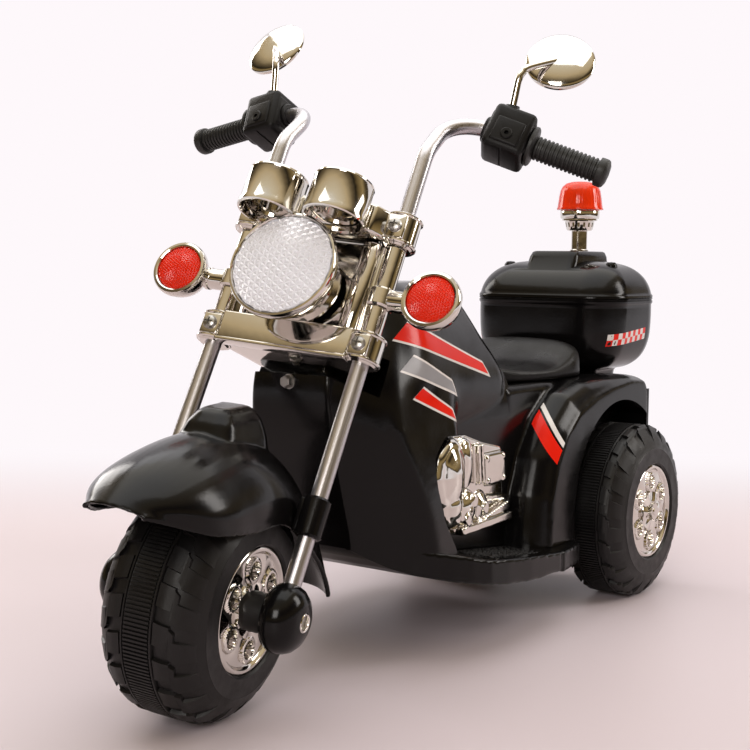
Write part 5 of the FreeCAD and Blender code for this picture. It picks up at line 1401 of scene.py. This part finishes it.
# Studio: a pale paper floor that sweeps up behind the trike, lit by soft boxes on both sides, in front and above.
# The room round it is warm and darker, and the plated pieces mirror it.
sweep_width, sweep_front, sweep_back, sweep_top = 9.0, 2.6, -2.6, 6.0
sweep_radius, sweep_steps = 1.4, 12
sweep_turn = Matrix.Rotation(math.radians(28), 4, "Z")
plain_white = linear("#fef8fb")
rows = [(sweep_front, 0.0), (0.0, 0.0)]
for step in range(sweep_steps + 1):
    angle = math.pi / 2 * step / sweep_steps
    rows.append((sweep_back - sweep_radius * math.sin(angle), sweep_radius * (1 - math.cos(angle))))
rows.append((sweep_back - sweep_radius, sweep_top))
sweep = bmesh.new()
strips = [[sweep.verts.new(sweep_turn @ Vector((x, side * sweep_width / 2, z))) for side in (-1, 1)] for x, z in rows]
for near, far in zip(strips, strips[1:]):
    sweep.faces.new((near[0], near[1], far[1], far[0]))
floor = piece_from("studio_sweep", sweep)
floor.data.polygons.foreach_set("use_smooth", [True] * len(floor.data.polygons))

# Studio paper: pale and dull with a slow drift of tone, so that the shadows stay soft
paper, tree, shader = finish("sweep_paper", "#ddd2d8", {"Roughness": 0.45, "Specular IOR Level": 0.3})
mist = speckle(tree, 900 * MM, 1.0)
tint = add(tree, "ShaderNodeMix", {"Factor": mist.outputs["Fac"], "A": linear("#c8bcc4"), "B": linear("#d2c7ce")},
           data_type="RGBA")
tree.links.new(tint.outputs["Result"], shader.inputs["Base Color"])


def blend(tree, kind, first, second):
    return add(tree, "ShaderNodeMath", {0: first, 1: second}, operation=kind).outputs["Value"]


# Far from the trike the paper fades to plain white for the eye, for metal and for glass
fade_heading, fade_centre = (-0.819, -0.574, 0), (0.28, 0, 0)
place = add(tree, "ShaderNodeTexCoord")
fades = []
for operation, other, start, end in (("DOT_PRODUCT", fade_heading, 0.15, 0.95), ("DISTANCE", fade_centre, 1.1, 2.3)):
    measure = add(tree, "ShaderNodeVectorMath", {0: place.outputs["Object"], 1: other}, operation=operation)
    fade = add(tree, "ShaderNodeMapRange", {"Value": measure.outputs["Value"], "From Min": start, "From Max": end},
               interpolation_type="SMOOTHSTEP")
    fades.append(fade.outputs["Result"])
ray = add(tree, "ShaderNodeLightPath")
seen = blend(tree, "MAXIMUM", ray.outputs["Is Camera Ray"], ray.outputs["Is Glossy Ray"])
seen = blend(tree, "MAXIMUM", seen, ray.outputs["Is Transmission Ray"])
share = blend(tree, "MULTIPLY", seen, blend(tree, "MAXIMUM", *fades))
white = add(tree, "ShaderNodeEmission", {"Color": plain_white, "Strength": 1.0})
mixed = add(tree, "ShaderNodeMixShader", {0: share, 1: shader.outputs["BSDF"], 2: white.outputs["Emission"]})
tree.links.new(mixed.outputs["Shader"], tree.nodes["Material Output"].inputs["Surface"])
floor.data.materials.append(paper)

world = bpy.data.worlds.new("studio")
bpy.context.scene.world = world
world.use_nodes = True
tree = world.node_tree
background = tree.nodes["Background"]
place = add(tree, "ShaderNodeTexCoord")
height = add(tree, "ShaderNodeSeparateXYZ", {"Vector": place.outputs["Generated"]})
room = add(tree, "ShaderNodeValToRGB", {"Fac": height.outputs["Z"]})
room_stops = ((0.0, "#4a3e2a"), (0.1, "#a68f63"), (0.24, "#7a6641"), (0.36, "#1d1913"), (0.5, "#75654a"),
              (0.66, "#cdb78f"), (0.86, "#e3d5b8"), (1.0, "#f0ece6"))
stops = room.color_ramp.elements
stops.remove(stops[1])
stops[0].position, stops[0].color = room_stops[0][0], linear(room_stops[0][1])
for position, code in room_stops[1:]:
    stops.new(position).color = linear(code)
eye = add(tree, "ShaderNodeLightPath")
plain = add(tree, "ShaderNodeMix", {"Factor": eye.outputs["Is Camera Ray"], "A": room.outputs["Color"],
                                    "B": plain_white}, data_type="RGBA")
tree.links.new(plain.outputs["Result"], background.inputs["Color"])
background.inputs["Strength"].default_value = 1.0


def soft_box(name, place, aim, width, height, power, colour):
    lamp = bpy.data.lights.new(name, "AREA")
    lamp.shape = "RECTANGLE"
    lamp.size = width
    lamp.size_y = height
    lamp.energy = power
    lamp.color = linear(colour)[:3]
    box = bpy.data.objects.new(name, lamp)
    box.location = place
    box.rotation_euler = (Vector(place) - Vector(aim)).to_track_quat("Z", "Y").to_euler()
    bpy.context.collection.objects.link(box)


aim = (0.28, 0, 0.25)
warm_white = "#fffaf6"
soft_box("left_box", (-0.1, -1.9, 1.2), aim, 0.6, 1.2, 14, warm_white)
soft_box("right_box", (-1.1, 1.6, 1.2), aim, 0.6, 1.2, 20, warm_white)
soft_box("top_box", (0.05, -0.1, 1.7), aim, 2.0, 2.0, 21, "#ffffff")
soft_box("front_box", (2.5, 0.9, 1.1), aim, 0.9, 0.9, 24, warm_white)

# Camera fitted to the photo: place in metres, angles in radians, lens in millimetres
camera_place = Vector((1.3069, 0.6965, 0.354))
camera_yaw, camera_pitch, camera_roll = -2.531, -0.087, 0.010
ahead = Vector((math.cos(camera_pitch) * math.cos(camera_yaw), math.cos(camera_pitch) * math.sin(camera_yaw),
                math.sin(camera_pitch)))
across = ahead.cross(Vector((0, 0, 1))).normalized()
upward = across.cross(ahead)
level_across = across.copy()
across = across * math.cos(camera_roll) + upward * math.sin(camera_roll)
upward = upward * math.cos(camera_roll) - level_across * math.sin(camera_roll)
lens = bpy.data.cameras.new("photo_view")
lens.lens = 63.72
lens.sensor_width = 36
camera = bpy.data.objects.new("photo_view", lens)
camera.matrix_world = Matrix((across, upward, -ahead)).transposed().to_4x4()
camera.location = camera_place
bpy.context.collection.objects.link(camera)
bpy.context.scene.camera = camera
bpy.context.scene.view_settings.view_transform = "Standard"
